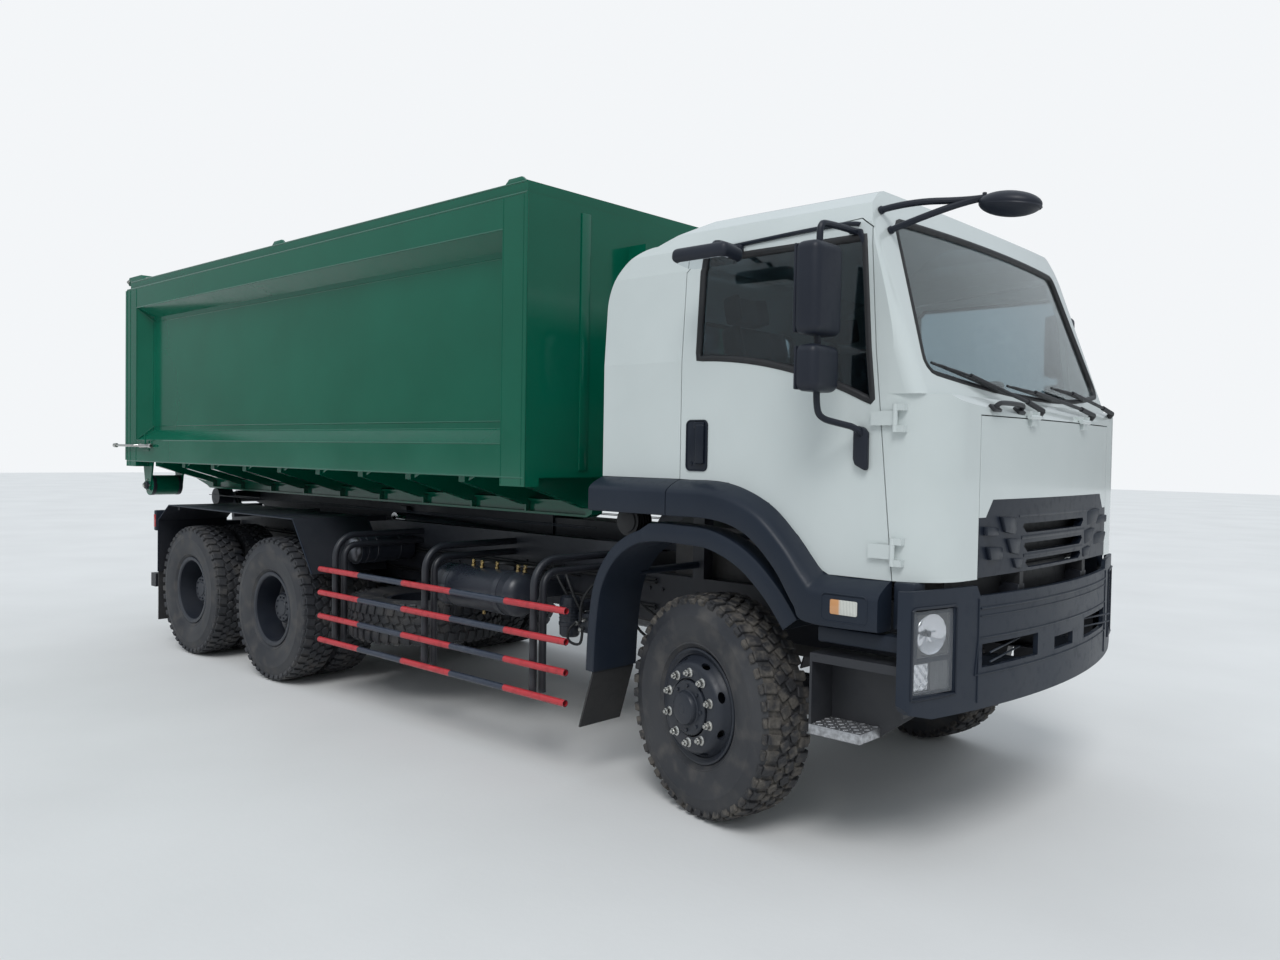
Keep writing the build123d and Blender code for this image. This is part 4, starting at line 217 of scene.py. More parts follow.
def clearLens():
    # Thin clear plastic over the lamps
    material, tree, shader, spot = startMaterial("clearLens")
    haze = patches(tree, spot, 30, 0.3, 0.8, detail=6)
    dress(tree, shader, blendColour(tree, haze, (0.80, 0.83, 0.86), (0.70, 0.73, 0.76)), (haze, 0.03, 0.10),
          extra={"Alpha": 0.10})
    return material


def sideLens():
    # Clear lens with an amber spot near its rear end
    material, tree, shader, spot = startMaterial("sideLens", roughness=0.12)
    place = addNode(tree, "SeparateXYZ", {0: spot}, "X")
    front = addNode(tree, "MapRange", {"From Min": axleX + 0.760, "From Max": axleX + 0.772, "Value": place})
    flutes = calc(tree, "SINE", calc(tree, "MULTIPLY", place, 900))
    clear = blendColour(tree, calc(tree, "MULTIPLY", calc(tree, "ADD", flutes, 1), 0.5), (0.72, 0.72, 0.66),
                        (0.45, 0.46, 0.42))
    dress(tree, shader, blendColour(tree, front, (0.62, 0.30, 0.12), clear), relief=(flutes, 0.3, 0.001),
          extra={"Coat Weight": 0.6})
    return material


def bandedGuard(start=axleX - 3.430, length=2.510, bands=5):
    # Side guard tubes: equal bands along the truck, red and dark grey in turn
    material, tree, shader, spot = startMaterial("bandedGuard")
    place = addNode(tree, "SeparateXYZ", {0: spot}, "X")
    count = calc(tree, "FLOOR", calc(tree, "DIVIDE", calc(tree, "SUBTRACT", place, start), length / bands))
    worn = patches(tree, spot, 26, 0.50, 0.72, detail=8)
    red = blendColour(tree, worn, (0.50, 0.035, 0.045), (0.36, 0.03, 0.038))
    grey = blendColour(tree, worn, (0.028, 0.037, 0.060), (0.055, 0.064, 0.086))
    dress(tree, shader, blendColour(tree, calc(tree, "MODULO", count, 2), red, grey), (worn, 0.3, 0.6),
          (worn, 0.2, 0.0006))
    return material


def wovenCloth():
    material, tree, shader, spot = startMaterial("wovenCloth")
    weave = addNode(tree, "TexWave", {"Scale": 90, "Vector": spot}, "Fac")
    worn = patches(tree, spot, 7, 0.35, 0.7)
    tint = blendColour(tree, worn, (0.075, 0.08, 0.09), (0.13, 0.13, 0.135))
    dress(tree, shader, blendColour(tree, calc(tree, "MULTIPLY", weave, 0.3), tint, (0.05, 0.055, 0.065)),
          (worn, 0.8, 0.95), (weave, 0.3, 0.0008), {"Sheen Weight": 0.25})
    return material


def checkerPlate():
    # Bare aluminium treads, worn bright on top
    material, tree, shader, spot = startMaterial("checkerPlate", metallic=0.9)
    worn = patches(tree, spot, 45, 0.35, 0.7, detail=8)
    dress(tree, shader, blendColour(tree, worn, (0.55, 0.56, 0.58), (0.30, 0.30, 0.31)), (worn, 0.32, 0.6),
          (worn, 0.3, 0.001))
    return material


# Each row: the material's name, its colour, the same faded, its gloss from smooth to rough, and what else sets it apart
paints = {
    "cab_paint": ("cabWhite", (0.62, 0.67, 0.66), (0.58, 0.63, 0.62), (0.18, 0.24), {
        "dustTop": 1.9, "dustShare": 0.22, "dust": (0.42, 0.40, 0.36), "grain": 12, "relief": 0.02, "coat": 0.6}),
    "trim_black": ("darkPlastic", (0.010, 0.016, 0.028), (0.015, 0.022, 0.036), (0.38, 0.56), {
        "dustTop": 1.5, "dustShare": 0.14, "dust": (0.13, 0.125, 0.12), "grain": 420, "relief": 0.25,
        "reliefDepth": 0.0008, "shine": 0.3}),
    "grille_black": ("grillePlastic", (0.008, 0.012, 0.021), (0.013, 0.018, 0.029), (0.30, 0.50), {
        "dustTop": 1.6, "dustShare": 0.12, "dust": (0.12, 0.12, 0.12), "grain": 300, "relief": 0.15, "shine": 0.3}),
    "dash_grey": ("dashPlastic", (0.075, 0.078, 0.085), (0.10, 0.10, 0.105), (0.55, 0.75), {
        "grain": 500, "relief": 0.3, "reliefDepth": 0.0008}),
    "lamp_red": ("redLens", (0.42, 0.018, 0.018), (0.50, 0.03, 0.025), (0.12, 0.25), {
        "grain": 140, "relief": 0.2, "coat": 0.5}),
    "chassis_black": ("chassisPaint", (0.012, 0.014, 0.020), (0.022, 0.024, 0.032), (0.38, 0.62), {
        "dustTop": 1.2, "dustShare": 0.42, "dust": (0.085, 0.08, 0.075), "grain": 120, "relief": 0.15}),
    "engine_iron": ("engineIron", (0.050, 0.050, 0.055), (0.085, 0.08, 0.075), (0.55, 0.8), {
        "dustTop": 1.5, "dustShare": 0.4, "dust": (0.12, 0.105, 0.09), "grain": 60, "relief": 0.5,
        "reliefDepth": 0.002, "metallic": 0.2}),
    "container_green": ("containerGreen", (0.0005, 0.100, 0.057), (0.001, 0.116, 0.067), (0.12, 0.28), {
        "dustTop": 1.9, "dustShare": 0.12, "dust": (0.06, 0.12, 0.085), "grain": 5, "relief": 0.02,
        "reliefDepth": 0.004, "coat": 0.2, "shine": 0.35}),
    "lift_dark": ("liftPaint", (0.013, 0.016, 0.024), (0.024, 0.028, 0.038), (0.34, 0.6), {
        "dustTop": 1.6, "dustShare": 0.3, "dust": (0.09, 0.085, 0.08), "grain": 110, "relief": 0.15}),
    "rod_chrome": ("brightSteel", (0.62, 0.63, 0.64), (0.50, 0.51, 0.52), (0.16, 0.38), {
        "grain": 220, "relief": 0.06, "metallic": 1.0}),
    "rim_grey": ("rimPaint", (0.012, 0.016, 0.026), (0.020, 0.025, 0.036), (0.32, 0.55), {
        "dustTop": 1.2, "dustShare": 0.25, "dust": (0.10, 0.095, 0.09), "grain": 90, "relief": 0.12, "shine": 0.4}),
    "tank_metal": ("tankPaint", (0.016, 0.020, 0.030), (0.028, 0.032, 0.044), (0.25, 0.48), {
        "dustTop": 1.2, "dustShare": 0.25, "dust": (0.10, 0.095, 0.09), "grain": 70, "relief": 0.08}),
    "fuel_alloy": ("brushedAlloy", (0.50, 0.51, 0.53), (0.40, 0.41, 0.43), (0.28, 0.5), {
        "dustTop": 1.1, "dustShare": 0.3, "dust": (0.22, 0.20, 0.18), "grain": 140, "metallic": 0.95}),
    "step_alloy": ("stepPaint", (0.016, 0.018, 0.024), (0.030, 0.032, 0.038), (0.42, 0.66), {
        "dustTop": 1.0, "dustShare": 0.5, "dust": (0.12, 0.115, 0.105), "grain": 160, "relief": 0.2}),
    "flap_rubber": ("flapRubber", (0.016, 0.017, 0.020), (0.030, 0.030, 0.032), (0.65, 0.88), {
        "dustTop": 0.9, "dustShare": 0.5, "dust": (0.13, 0.12, 0.11), "grain": 200, "relief": 0.25,
        "reliefDepth": 0.001}),
    "wiper_black": ("wiperBlack", (0.012, 0.013, 0.016), (0.020, 0.021, 0.025), (0.4, 0.6), {"grain": 200}),
    "mirror_black": ("mirrorPlastic", (0.010, 0.013, 0.022), (0.015, 0.019, 0.030), (0.40, 0.56), {
        "grain": 450, "relief": 0.2, "shine": 0.35}),
    "bright": ("brightZinc", (0.60, 0.60, 0.58), (0.42, 0.41, 0.38), (0.25, 0.5), {"grain": 260, "metallic": 1.0}),
    "lampBowl": ("lampBowl", (0.74, 0.75, 0.77), (0.62, 0.63, 0.66), (0.04, 0.12), {
        "grain": 60, "relief": 0.02, "metallic": 1.0}),
    "lampHousing": ("lampHousing", (0.045, 0.048, 0.055), (0.035, 0.038, 0.044), (0.25, 0.4), {
        "grain": 120, "metallic": 0.6}),
    "mirrorFace": ("mirrorFace", (0.80, 0.83, 0.85), (0.74, 0.77, 0.80), (0.02, 0.08), {
        "grain": 20, "relief": 0.01, "metallic": 1.0}),
    "rubberSeal": ("rubberSeal", (0.010, 0.011, 0.013), (0.020, 0.020, 0.022), (0.5, 0.72), {"grain": 200}),
    "amber": ("amberLens", (0.75, 0.25, 0.03), (0.65, 0.20, 0.02), (0.1, 0.2), {
        "grain": 160, "relief": 0.2, "coat": 0.5}),
    "brass": ("brassFitting", (0.45, 0.33, 0.14), (0.32, 0.24, 0.12), (0.25, 0.5), {"grain": 160, "metallic": 1.0}),
    "wornAlloy": ("wornAlloy", (0.20, 0.21, 0.23), (0.10, 0.105, 0.12), (0.25, 0.45), {
        "dustTop": 1.3, "dustShare": 0.3, "dust": (0.16, 0.15, 0.13), "grain": 60, "relief": 0.08, "metallic": 0.9,
        "patchSize": 6}),
    "clearRibbed": ("clearRibbed", (0.62, 0.63, 0.62), (0.50, 0.51, 0.50), (0.08, 0.2), {"grain": 120, "coat": 0.5}),
}

bpy.context.scene.view_settings.view_transform = "Standard"
addCamera()
addStudio()
finishes = {key: plainFinish(*row, **options) for key, (*row, options) in paints.items()}
finishes.update({"tyre": tyreRubber(), "mud": muddyRubber(), "seat_cloth": wovenCloth(), "guard_red": bandedGuard(),
                 "glass": tintedGlass("windowGlass", (0.66, 0.76, 0.78)), "lamp_clear": clearLens(),
                 "doorGlass": tintedGlass("doorGlass", (0.20, 0.27, 0.31)), "sideLens": sideLens(),
                 "plate": checkerPlate()})
slotOfNode = {part["node"]: part["material_slot"] for part in frame["record"]["subparts"]}
for nodeName, node in frame["nodes"].items():
    node.data.materials.clear()
    node.data.materials.append(finishes["doorGlass" if nodeName.startswith("door_glass") else slotOfNode[nodeName]])
print("camera, light and finishes ready")

# Helpers: small meshes are made once in a mesh of their own, then poured into a piece's mesh where they go
def pour(target, fresh, places=(Matrix(),), finish=0):
    bmesh.ops.recalc_face_normals(fresh, faces=fresh.faces)
    for face in fresh.faces:
        face.material_index = finish
    data = keep(fresh)
    pourKept(target, data, places)
    bpy.data.meshes.remove(data)


def pourKept(target, data, places):
    for place in [places] if isinstance(places, Matrix) else places:
        copy = data.copy()
        copy.transform(place)
        target.from_mesh(copy)
        bpy.data.meshes.remove(copy)


def keep(mesh, name="kept"):
    data = bpy.data.meshes.new(name)
    mesh.to_mesh(data)
    mesh.free()
    return data


def bevel(mesh, edges, radius, segments):
    bmesh.ops.bevel(mesh, geom=edges, offset=radius, offset_type="OFFSET", segments=segments, profile=0.5,
                    affect="EDGES", material=-1)


def blockMesh(size, radius=0.003, segments=1):
    mesh = bmesh.new()
    bmesh.ops.create_cube(mesh, size=1, matrix=Matrix.Diagonal((*size, 1)))
    bevel(mesh, mesh.edges, radius, segments)
    return mesh


def rodMesh(radius, length, sides=16, tip=None, edge=0):
    # A round bar along Z from 0 to its length, tapered where a tip radius is given
    mesh = bmesh.new()
    bmesh.ops.create_cone(mesh, cap_ends=True, segments=sides, radius1=radius, radius2=radius if tip is None else tip,
                          depth=length, matrix=Matrix.Translation((0, 0, length / 2)))
    if edge:
        bevel(mesh, [rim for rim in mesh.edges if abs(rim.verts[0].co.z - rim.verts[1].co.z) < 1e-6], edge, 2)
    return mesh


def turnedMesh(outline, steps=96, closed=True):
    # (radius, height) points turned about Z
    mesh = bmesh.new()
    points = [mesh.verts.new((radius, 0, height)) for radius, height in outline]
    edges = [mesh.edges.new(pair) for pair in (edgesOf(points) if closed else zip(points, points[1:]))]
    bmesh.ops.spin(mesh, geom=points + edges, cent=(0, 0, 0), axis=(0, 0, 1), dvec=(0, 0, 0), angle=math.tau,
                   steps=steps, use_merge=True, use_normal_flip=False, use_duplicate=False)
    bmesh.ops.remove_doubles(mesh, verts=mesh.verts, dist=0.00002)
    return mesh


def tubeMesh(points, radius, sides=12, closed=False, smooth=True):
    # A round bar along a smooth line near the points, or straight from point to point
    curve = bpy.data.curves.new("tube", "CURVE")
    curve.dimensions = "3D"
    curve.bevel_depth = radius
    curve.bevel_resolution = max(1, sides // 4 - 1)
    curve.use_fill_caps = True
    line = curve.splines.new("NURBS" if smooth else "POLY")
    line.points.add(len(points) - 1)
    for point, spot in zip(line.points, points):
        point.co = (*spot, 1)
    line.use_cyclic_u = closed
    if smooth:
        line.order_u = 3
        line.use_endpoint_u = not closed
        line.resolution_u = 6
    holder = bpy.data.objects.new("tube", curve)
    shape = bpy.data.meshes.new_from_object(holder)
    mesh = bmesh.new()
    mesh.from_mesh(shape)
    bmesh.ops.remove_doubles(mesh, verts=mesh.verts, dist=0.00002)
    bpy.data.objects.remove(holder)
    bpy.data.curves.remove(curve)
    bpy.data.meshes.remove(shape)
    return mesh


def plateMesh(outline, thickness, radius=0.0):
    # A flat plate: (x, y) outline, pushed along Z
    mesh = bmesh.new()
    face = mesh.faces.new([mesh.verts.new((x, y, 0)) for x, y in outline])
    pushed = bmesh.ops.extrude_face_region(mesh, geom=[face])
    bmesh.ops.translate(mesh, verts=[item for item in pushed["geom"] if isinstance(item, bmesh.types.BMVert)],
                        vec=(0, 0, thickness))
    if radius:
        bevel(mesh, mesh.edges, radius, 2)
    return mesh


def smoothLine(points, count):
    line, last = [], len(points) - 1
    for number in range(count + 1):
        place = number / count * last
        index = min(int(place), last - 1)
        part = place - index
        near = [points[min(max(index + shift, 0), last)] for shift in (-1, 0, 1, 2)]
        line.append(tuple(0.5 * (2 * b + (c - a) * part + (2 * a - 5 * b + 4 * c - d) * part ** 2
                                 + (3 * b - a - 3 * c + d) * part ** 3) for a, b, c, d in zip(*near)))
    return line


def sheetMesh(rows, thickness=0.0):
    # A grid laid through rows of points
    across, down = len(rows[0]) - 1, len(rows) - 1
    mesh = bmesh.new()
    bmesh.ops.create_grid(mesh, x_segments=across, y_segments=down, size=1)
    for point in mesh.verts:
        column, row = (round((part + 1) / 2 * steps) for part, steps in ((point.co.x, across), (point.co.y, down)))
        point.co = rows[row][column]
    if thickness:
        bmesh.ops.recalc_face_normals(mesh, faces=mesh.faces)
        bmesh.ops.solidify(mesh, geom=mesh.faces, thickness=thickness)
    return mesh


def roundedOutline(width, height, radius, steps=6, middle=(0, 0)):
    corners = ((1, 1, 0), (-1, 1, 90), (-1, -1, 180), (1, -1, 270))
    turns = [(sideX, sideY, math.radians(start + 90 * step / steps)) for sideX, sideY, start in corners
             for step in range(steps + 1)]
    return [(sideX * (width / 2 - radius) + radius * math.cos(turn) + middle[0],
             sideY * (height / 2 - radius) + radius * math.sin(turn) + middle[1]) for sideX, sideY, turn in turns]


def edgesOf(points):
    # The pairs of neighbours round a closed line
    return list(zip(points, points[1:] + points[:1]))


def spots(points, side=1):
    # Points given from the front axle, on one side of the truck
    return [(axleX + x, side * y, z) for x, y, z in points]


def turnBy(degrees, axis):
    return Matrix.Rotation(math.radians(degrees), 4, axis)


def at(x, y, z, turnX=0.0, turnY=0.0, turnZ=0.0):
    return Matrix.Translation((x, y, z)) @ turnBy(turnZ, "Z") @ turnBy(turnY, "Y") @ turnBy(turnX, "X")


def place(x, y, z, **turns):
    return at(axleX + x, y, z, **turns)


def along(start, end):
    # Turns Z into the way from start to end, and goes to start
    return Matrix.Translation(start) @ (Vector(end) - Vector(start)).to_track_quat("Z", "Y").to_matrix().to_4x4()


def outward(side, x, y, z):
    # Turns Z away from the truck's middle
    return along((axleX + x, side * y, z), (axleX + x, side * (y + 1), z))


def onSide(side, x, y, z):
    # Stands a flat outline on the truck's side: its X goes forward, its Z outward
    return at(axleX + x, side * y, z) @ Matrix(((1, 0, 0, 0), (0, 0, side, 0), (0, 1, 0, 0), (0, 0, 0, 1)))


# Stands a flat outline across the truck: its X goes left, its Y up, its Z forward
acrossTruck = Matrix(((0, 0, 1, 0), (1, 0, 0, 0), (0, 1, 0, 0), (0, 0, 0, 1)))


def ringOf(count, radius, height=0.0, offset=0.0):
    # Places round Z
    return [Matrix.Rotation(math.tau * (number + offset) / count, 4, "Z") @ at(radius, 0, height)
            for number in range(count)]


def addPiece(name, mesh, finish, body, stands=None, sharp=32):
    # One object at the origin, smooth except over sharp edges, riding on its body
    bmesh.ops.recalc_face_normals(mesh, faces=mesh.faces)
    for face in mesh.faces:
        face.smooth = True
    data = keep(mesh, name)
    data.set_sharp_from_angle(angle=math.radians(sharp))
    for part in (finish if isinstance(finish, tuple) else (finish,)):
        data.materials.append(finishes[part])
    piece = link(bpy.data.objects.new(name, data))
    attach(piece, body)
    if stands:
        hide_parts(stands)
    return piece


def cutAway(mesh, cutter):
    # Takes the cutter's volume out of the mesh
    holders = []
    for label, part in (("cutBase", mesh), ("cutTool", cutter)):
        bmesh.ops.recalc_face_normals(part, faces=part.faces)
        holders.append(link(bpy.data.objects.new(label, keep(part, label))))
    base, tool = holders
    cut = base.modifiers.new("cut", "BOOLEAN")
    cut.operation = "DIFFERENCE"
    cut.object = tool
    bpy.context.view_layer.update()
    shape = bpy.data.meshes.new_from_object(base.evaluated_get(bpy.context.evaluated_depsgraph_get()))
    result = bmesh.new()
    result.from_mesh(shape)
    for holder in holders:
        bpy.data.objects.remove(holder)
    bpy.data.meshes.remove(shape)
    return result


def cabFace(y, z, out=0.0):
    # A point off the windscreen's slope, or off the slope below it
    if z < 2.010:
        return Vector((axleX + 3.131 - z + out * 0.7071, y, z + out * 0.7071))
    foot = Vector((axleX + 1.121 - 0.357 * (z - 2.010) - y * y / 18, y, z))
    return foot + Vector((1, y / 9, 0.357)).normalized() * out


# Wheels: one tyre and one rim, made about Z with the outer side up, and copied to every wheel
tyre = {"lugs": 44, "steps": 96, "treadFrom": 0.512,
        "sideWall": ((0.254, 0.101), (0.273, 0.103), (0.284, 0.112), (0.296, 0.123), (0.299, 0.1275), (0.303, 0.1285),
                     (0.306, 0.1270), (0.335, 0.1385), (0.386, 0.1460), (0.428, 0.1450), (0.432, 0.1462),
                     (0.437, 0.1458), (0.440, 0.1438), (0.470, 0.1375), (0.500, 0.1270), (0.515, 0.1130),
                     (0.520, 0.090), (0.5225, 0.050)),
        # Rows of lugs: place across, size round, size across, height, tilt, turn, half a step on, radius of its middle
        "rows": ((0.027, 0.050, 0.047, 0.026, 0, 24, 0.0, 0.5235), (0.090, 0.047, 0.066, 0.028, 5, -9, 0.5, 0.5195),
                 (0.1245, 0.043, 0.020, 0.046, 24, 0, 0.5, 0.4975))}
rim = {"steps": 96, "holes": 8, "holeSpot": (0.2235, 0.1345), "holeSize": (0.017, 0.027), "holeLean": 61,
       "studRadius": 0.1675, "studs": 10,
       "outline": ((0.274, -0.101), (0.258, -0.099), (0.254, -0.094), (0.254, 0.094), (0.258, 0.099), (0.268, 0.102),
                   (0.2765, 0.107), (0.2785, 0.1125), (0.2755, 0.1175), (0.268, 0.1185), (0.260, 0.1145),
                   (0.2535, 0.109), (0.247, 0.1065), (0.244, 0.100), (0.2375, 0.108), (0.228, 0.132), (0.219, 0.151),
                   (0.209, 0.161), (0.200, 0.165), (0.139, 0.165), (0.139, 0.151), (0.194, 0.151), (0.206, 0.140),
                   (0.220, 0.110), (0.232, 0.082), (0.244, 0.070), (0.244, -0.108), (0.252, -0.116), (0.266, -0.119),
                   (0.276, -0.117), (0.2785, -0.112), (0.2765, -0.106))}
hub = {"front": ((0, 0.2145), (0.020, 0.2145), (0.024, 0.2115), (0.060, 0.2115), (0.074, 0.206), (0.080, 0.196),
                 (0.081, 0.182), (0.086, 0.178), (0.124, 0.178), (0.131, 0.172), (0.131, 0.100), (0, 0.100)),
       "rear": ((0, 0.040), (0.055, 0.040), (0.060, 0.034), (0.098, 0.034), (0.104, 0.028), (0.106, 0.016),
                (0.118, 0.010), (0.124, -0.020), (0.130, -0.148), (0.150, -0.152), (0, -0.152)),
       "frontDrum": ((0.205, 0.085), (0.205, -0.045), (0.06, -0.045), (0.06, 0.085)),
       "rearDrum": ((0.19, 0.02), (0.20, 0.145), (0.205, 0.145), (0.205, -0.12), (0.06, -0.12), (0.06, 0.02))}
wheels = {"steer": 13.7, "kingpinY": 0.870, "kingpinOut": 0.160, "axles": (("middle", -4.110), ("rear", -5.480)),
          "twinY": 0.925, "twinShift": 0.165, "spare": (axleX - 3.019, -0.600, 0.575)}


def makeTyre():
    mesh = bmesh.new()
    half = tyre["sideWall"]
    pour(mesh, turnedMesh(half + tuple((radius, -side) for radius, side in half[::-1]), tyre["steps"]))
    pitch = bmesh.new()
    step = math.tau / tyre["lugs"]
    for across, length, width, height, tilt, turn, shift, radius in tyre["rows"]:
        for side in (1, -1):
            turned = Matrix.Rotation(step * (shift if side > 0 else shift + 0.5), 4, "Z")
            pour(pitch, blockMesh((height, length, width), 0.004),
                 turned @ at(radius, 0, side * across, turnX=turn, turnY=-side * tilt))
    pour(mesh, pitch, [Matrix.Rotation(step * count, 4, "Z") for count in range(tyre["lugs"])], finish=1)
    for face in mesh.faces:
        middle = face.calc_center_median()
        if math.hypot(middle.x, middle.y) > tyre["treadFrom"]:
            face.material_index = 1
    return mesh


def makeRim():
    # The outer wheel of a pair uses it turned over
    holes = bmesh.new()
    for spot in ringOf(rim["holes"], *rim["holeSpot"], 0.5):
        pour(holes, rodMesh(1, 0.06, 24),
             spot @ turnBy(rim["holeLean"], "Y") @ Matrix.Diagonal((*rim["holeSize"], 1, 1)) @ at(0, 0, -0.03))
    return cutAway(turnedMesh(rim["outline"], rim["steps"]), holes)


def makeNut():
    nut = bmesh.new()
    pour(nut, turnedMesh(((0, 0), (0.0235, 0), (0.0235, 0.004), (0.019, 0.008), (0, 0.008)), 24, closed=False))
    pour(nut, rodMesh(0.0175, 0.018, 6, edge=0.002), at(0, 0, 0.007))
    pour(nut, rodMesh(0.0098, 0.014, 12, edge=0.003), at(0, 0, 0.023))
    return nut


def wheelSpot(centre, outer):
    axis = Vector(outer).normalized()
    across = Vector((0, 0, 1)).cross(axis).normalized() if abs(axis.z) < 0.9 else Vector((1, 0, 0))
    return Matrix.Translation(centre) @ Matrix((across, axis.cross(across), axis)).transposed().to_4x4()


def addWheels():
    tyreShape, rimShape, nutShape = keep(makeTyre()), keep(makeRim()), keep(makeNut())
    over = Matrix.Rotation(math.pi, 4, "X")
    steer = math.radians(wheels["steer"])

    def gather(data, places):
        mesh = bmesh.new()
        pourKept(mesh, data, places)
        return mesh

    def addSet(label, sideName, body, treads, tyreSpots, rimMesh, nutSpot):
        names = ("Tyre", "_tyre_", "Rim", "_rim_") if label == "front" else ("Tyres", "_tyres_", "Rims", "_rims_")
        addPiece(label + names[0] + "_" + sideName, gather(tyreShape, tyreSpots), treads, body,
                 label + names[1] + sideName)
        addPiece(label + names[2] + "_" + sideName, rimMesh, "rim_grey", body, stands=label + names[3] + sideName)
        nuts = [nutSpot @ spot for spot in ringOf(rim["studs"], rim["studRadius"], 0, 0.5)]
        addPiece(label + "Nuts_" + sideName, gather(nutShape, nuts), "bright", body)

    for side, sideName in sideNames.items():
        outer = Vector((side * math.sin(steer), side * math.cos(steer), 0))
        kingpin = Vector((axleX, side * wheels["kingpinY"], wheelZ))
        spot = wheelSpot(kingpin + outer * wheels["kingpinOut"], outer)
        mesh = gather(rimShape, spot)
        pour(mesh, turnedMesh(hub["front"], 64, closed=False), spot)
        pour(mesh, turnedMesh(hub["frontDrum"], 64), spot)
        pour(mesh, rodMesh(0.009, 0.008, 6, edge=0.0012), [spot @ bolt for bolt in ringOf(8, 0.106, 0.177)])
        addSet("front", sideName, "front_wheel_" + sideName, ("tyre", "mud"), spot, mesh, spot @ at(0, 0, 0.164))
        for label, axle in wheels["axles"]:
            outer, inner = (wheelSpot((axleX + axle, side * (wheels["twinY"] + shift), wheelZ), (0, side, 0))
                            for shift in (wheels["twinShift"], -wheels["twinShift"]))
            mesh = gather(rimShape, [outer @ over, inner])
            pour(mesh, turnedMesh(hub["rear"], 64, closed=False), outer)
            pour(mesh, turnedMesh(hub["rearDrum"], 64), inner)
            pour(mesh, rodMesh(0.008, 0.010, 6, edge=0.0012), [outer @ bolt for bolt in ringOf(10, 0.080, 0.032)])
            addSet(label, sideName, label + "_wheels_" + sideName, ("tyre", "tyre"), [outer, inner @ over], mesh,
                   outer @ at(0, 0, -0.152))
    spare = wheelSpot(wheels["spare"], (0, 0, 1))
    addPiece("spareTyre", gather(tyreShape, spare), ("tyre", "tyre"), "chassis", "spare_tyre")
    for data in (tyreShape, rimShape, nutShape):
        bpy.data.meshes.remove(data)


addWheels()
print("wheels made")

# Side trim over the front wheels, smooth where the solids are folded; the rows run from the cab's rear to its front
trim = {"skirt": ((-0.728, 1.627), (-0.206, 1.627), (0.094, 1.618), (0.326, 1.534), (0.488, 1.395), (0.602, 1.266),
                  (0.668, 1.240), (0.940, 1.240)),
        "lip": ((-0.728, 1.450), (-0.206, 1.450), (0.075, 1.446), (0.262, 1.394), (0.418, 1.262), (0.528, 1.108),
                (0.600, 1.037), (0.940, 1.035)),
        "section": ((0.0, 1.122), (0.012, 1.137), (0.06, 1.160), (0.16, 1.200), (0.26, 1.2275), (0.33, 1.2385),
                    (0.40, 1.2415), (0.68, 1.2415), (0.93, 1.2415), (0.985, 1.2375), (1.0, 1.226), (1.0, 1.130)),
        "steps": 70, "cabSteps": 10, "doorStart": -0.201, "rim": 1.125, "thickness": 0.004,
        "lampFrame": (0.785, 1.2405, 1.118), "lamp": (0.785, 1.2395, 1.122)}
mudguard = {"lip": ((0.461, 0.981), (0.359, 1.108), (0.212, 1.232), (0.038, 1.303), (-0.140, 1.316), (-0.300, 1.316),
                    (-0.431, 1.290), (-0.560, 1.205), (-0.655, 1.052), (-0.690, 0.84), (-0.703, 0.610)),
            "section": ((0.885, 0.0), (1.150, 0.0), (1.196, 0.0), (1.208, 0.03), (1.2115, 0.10), (1.2115, 0.80),
                        (1.205, 0.94), (1.185, 1.0), (1.10, 1.0)),
            "band": (0.096, 0.066), "steps": 80, "thickness": 0.004, "stays": ((-0.250, 1.312), (-0.640, 1.120))}


def trimSheet(side, numbers):
    skirt, lip = smoothLine(trim["skirt"], trim["steps"]), smoothLine(trim["lip"], trim["steps"])
    rows = []
    for number in numbers:
        top, low = (Vector((max(x, trim["doorStart"]) if numbers[-1] == trim["steps"] else x, z))
                    for x, z in (skirt[number], lip[number]))
        row = [(*top.lerp(low, share), y) for share, y in trim["section"]]
        rows.append(spots([(x, y, z) for x, z, y in row], side))
    for end in (0, -1):
        closed = [(x, side * min(abs(y), trim["rim"]), z) for x, y, z in rows[end]]
        rows.insert(0 if end == 0 else len(rows), closed)
    return sheetMesh(rows, trim["thickness"])


def guardSheet(side):
    line = smoothLine(mudguard["lip"], mudguard["steps"])
    rows = []
    for number, (x, z) in enumerate(line):
        before, after = (Vector(line[min(max(number + shift, 0), len(line) - 1)]) for shift in (-1, 1))
        way = (after - before).normalized()
        out = Vector((way.y, -way.x))
        if out.dot(Vector((x, z - wheelZ))) < 0:
            out = -out
        share = min(max((-0.33 - x) / 0.06, 0), 1)
        band = mudguard["band"][0] * (1 - share) + mudguard["band"][1] * share
        rows.append(spots([(x + out.x * rise * band, y, z + out.y * rise * band) for y, rise in mudguard["section"]],
                          side))
    return sheetMesh(rows, mudguard["thickness"])


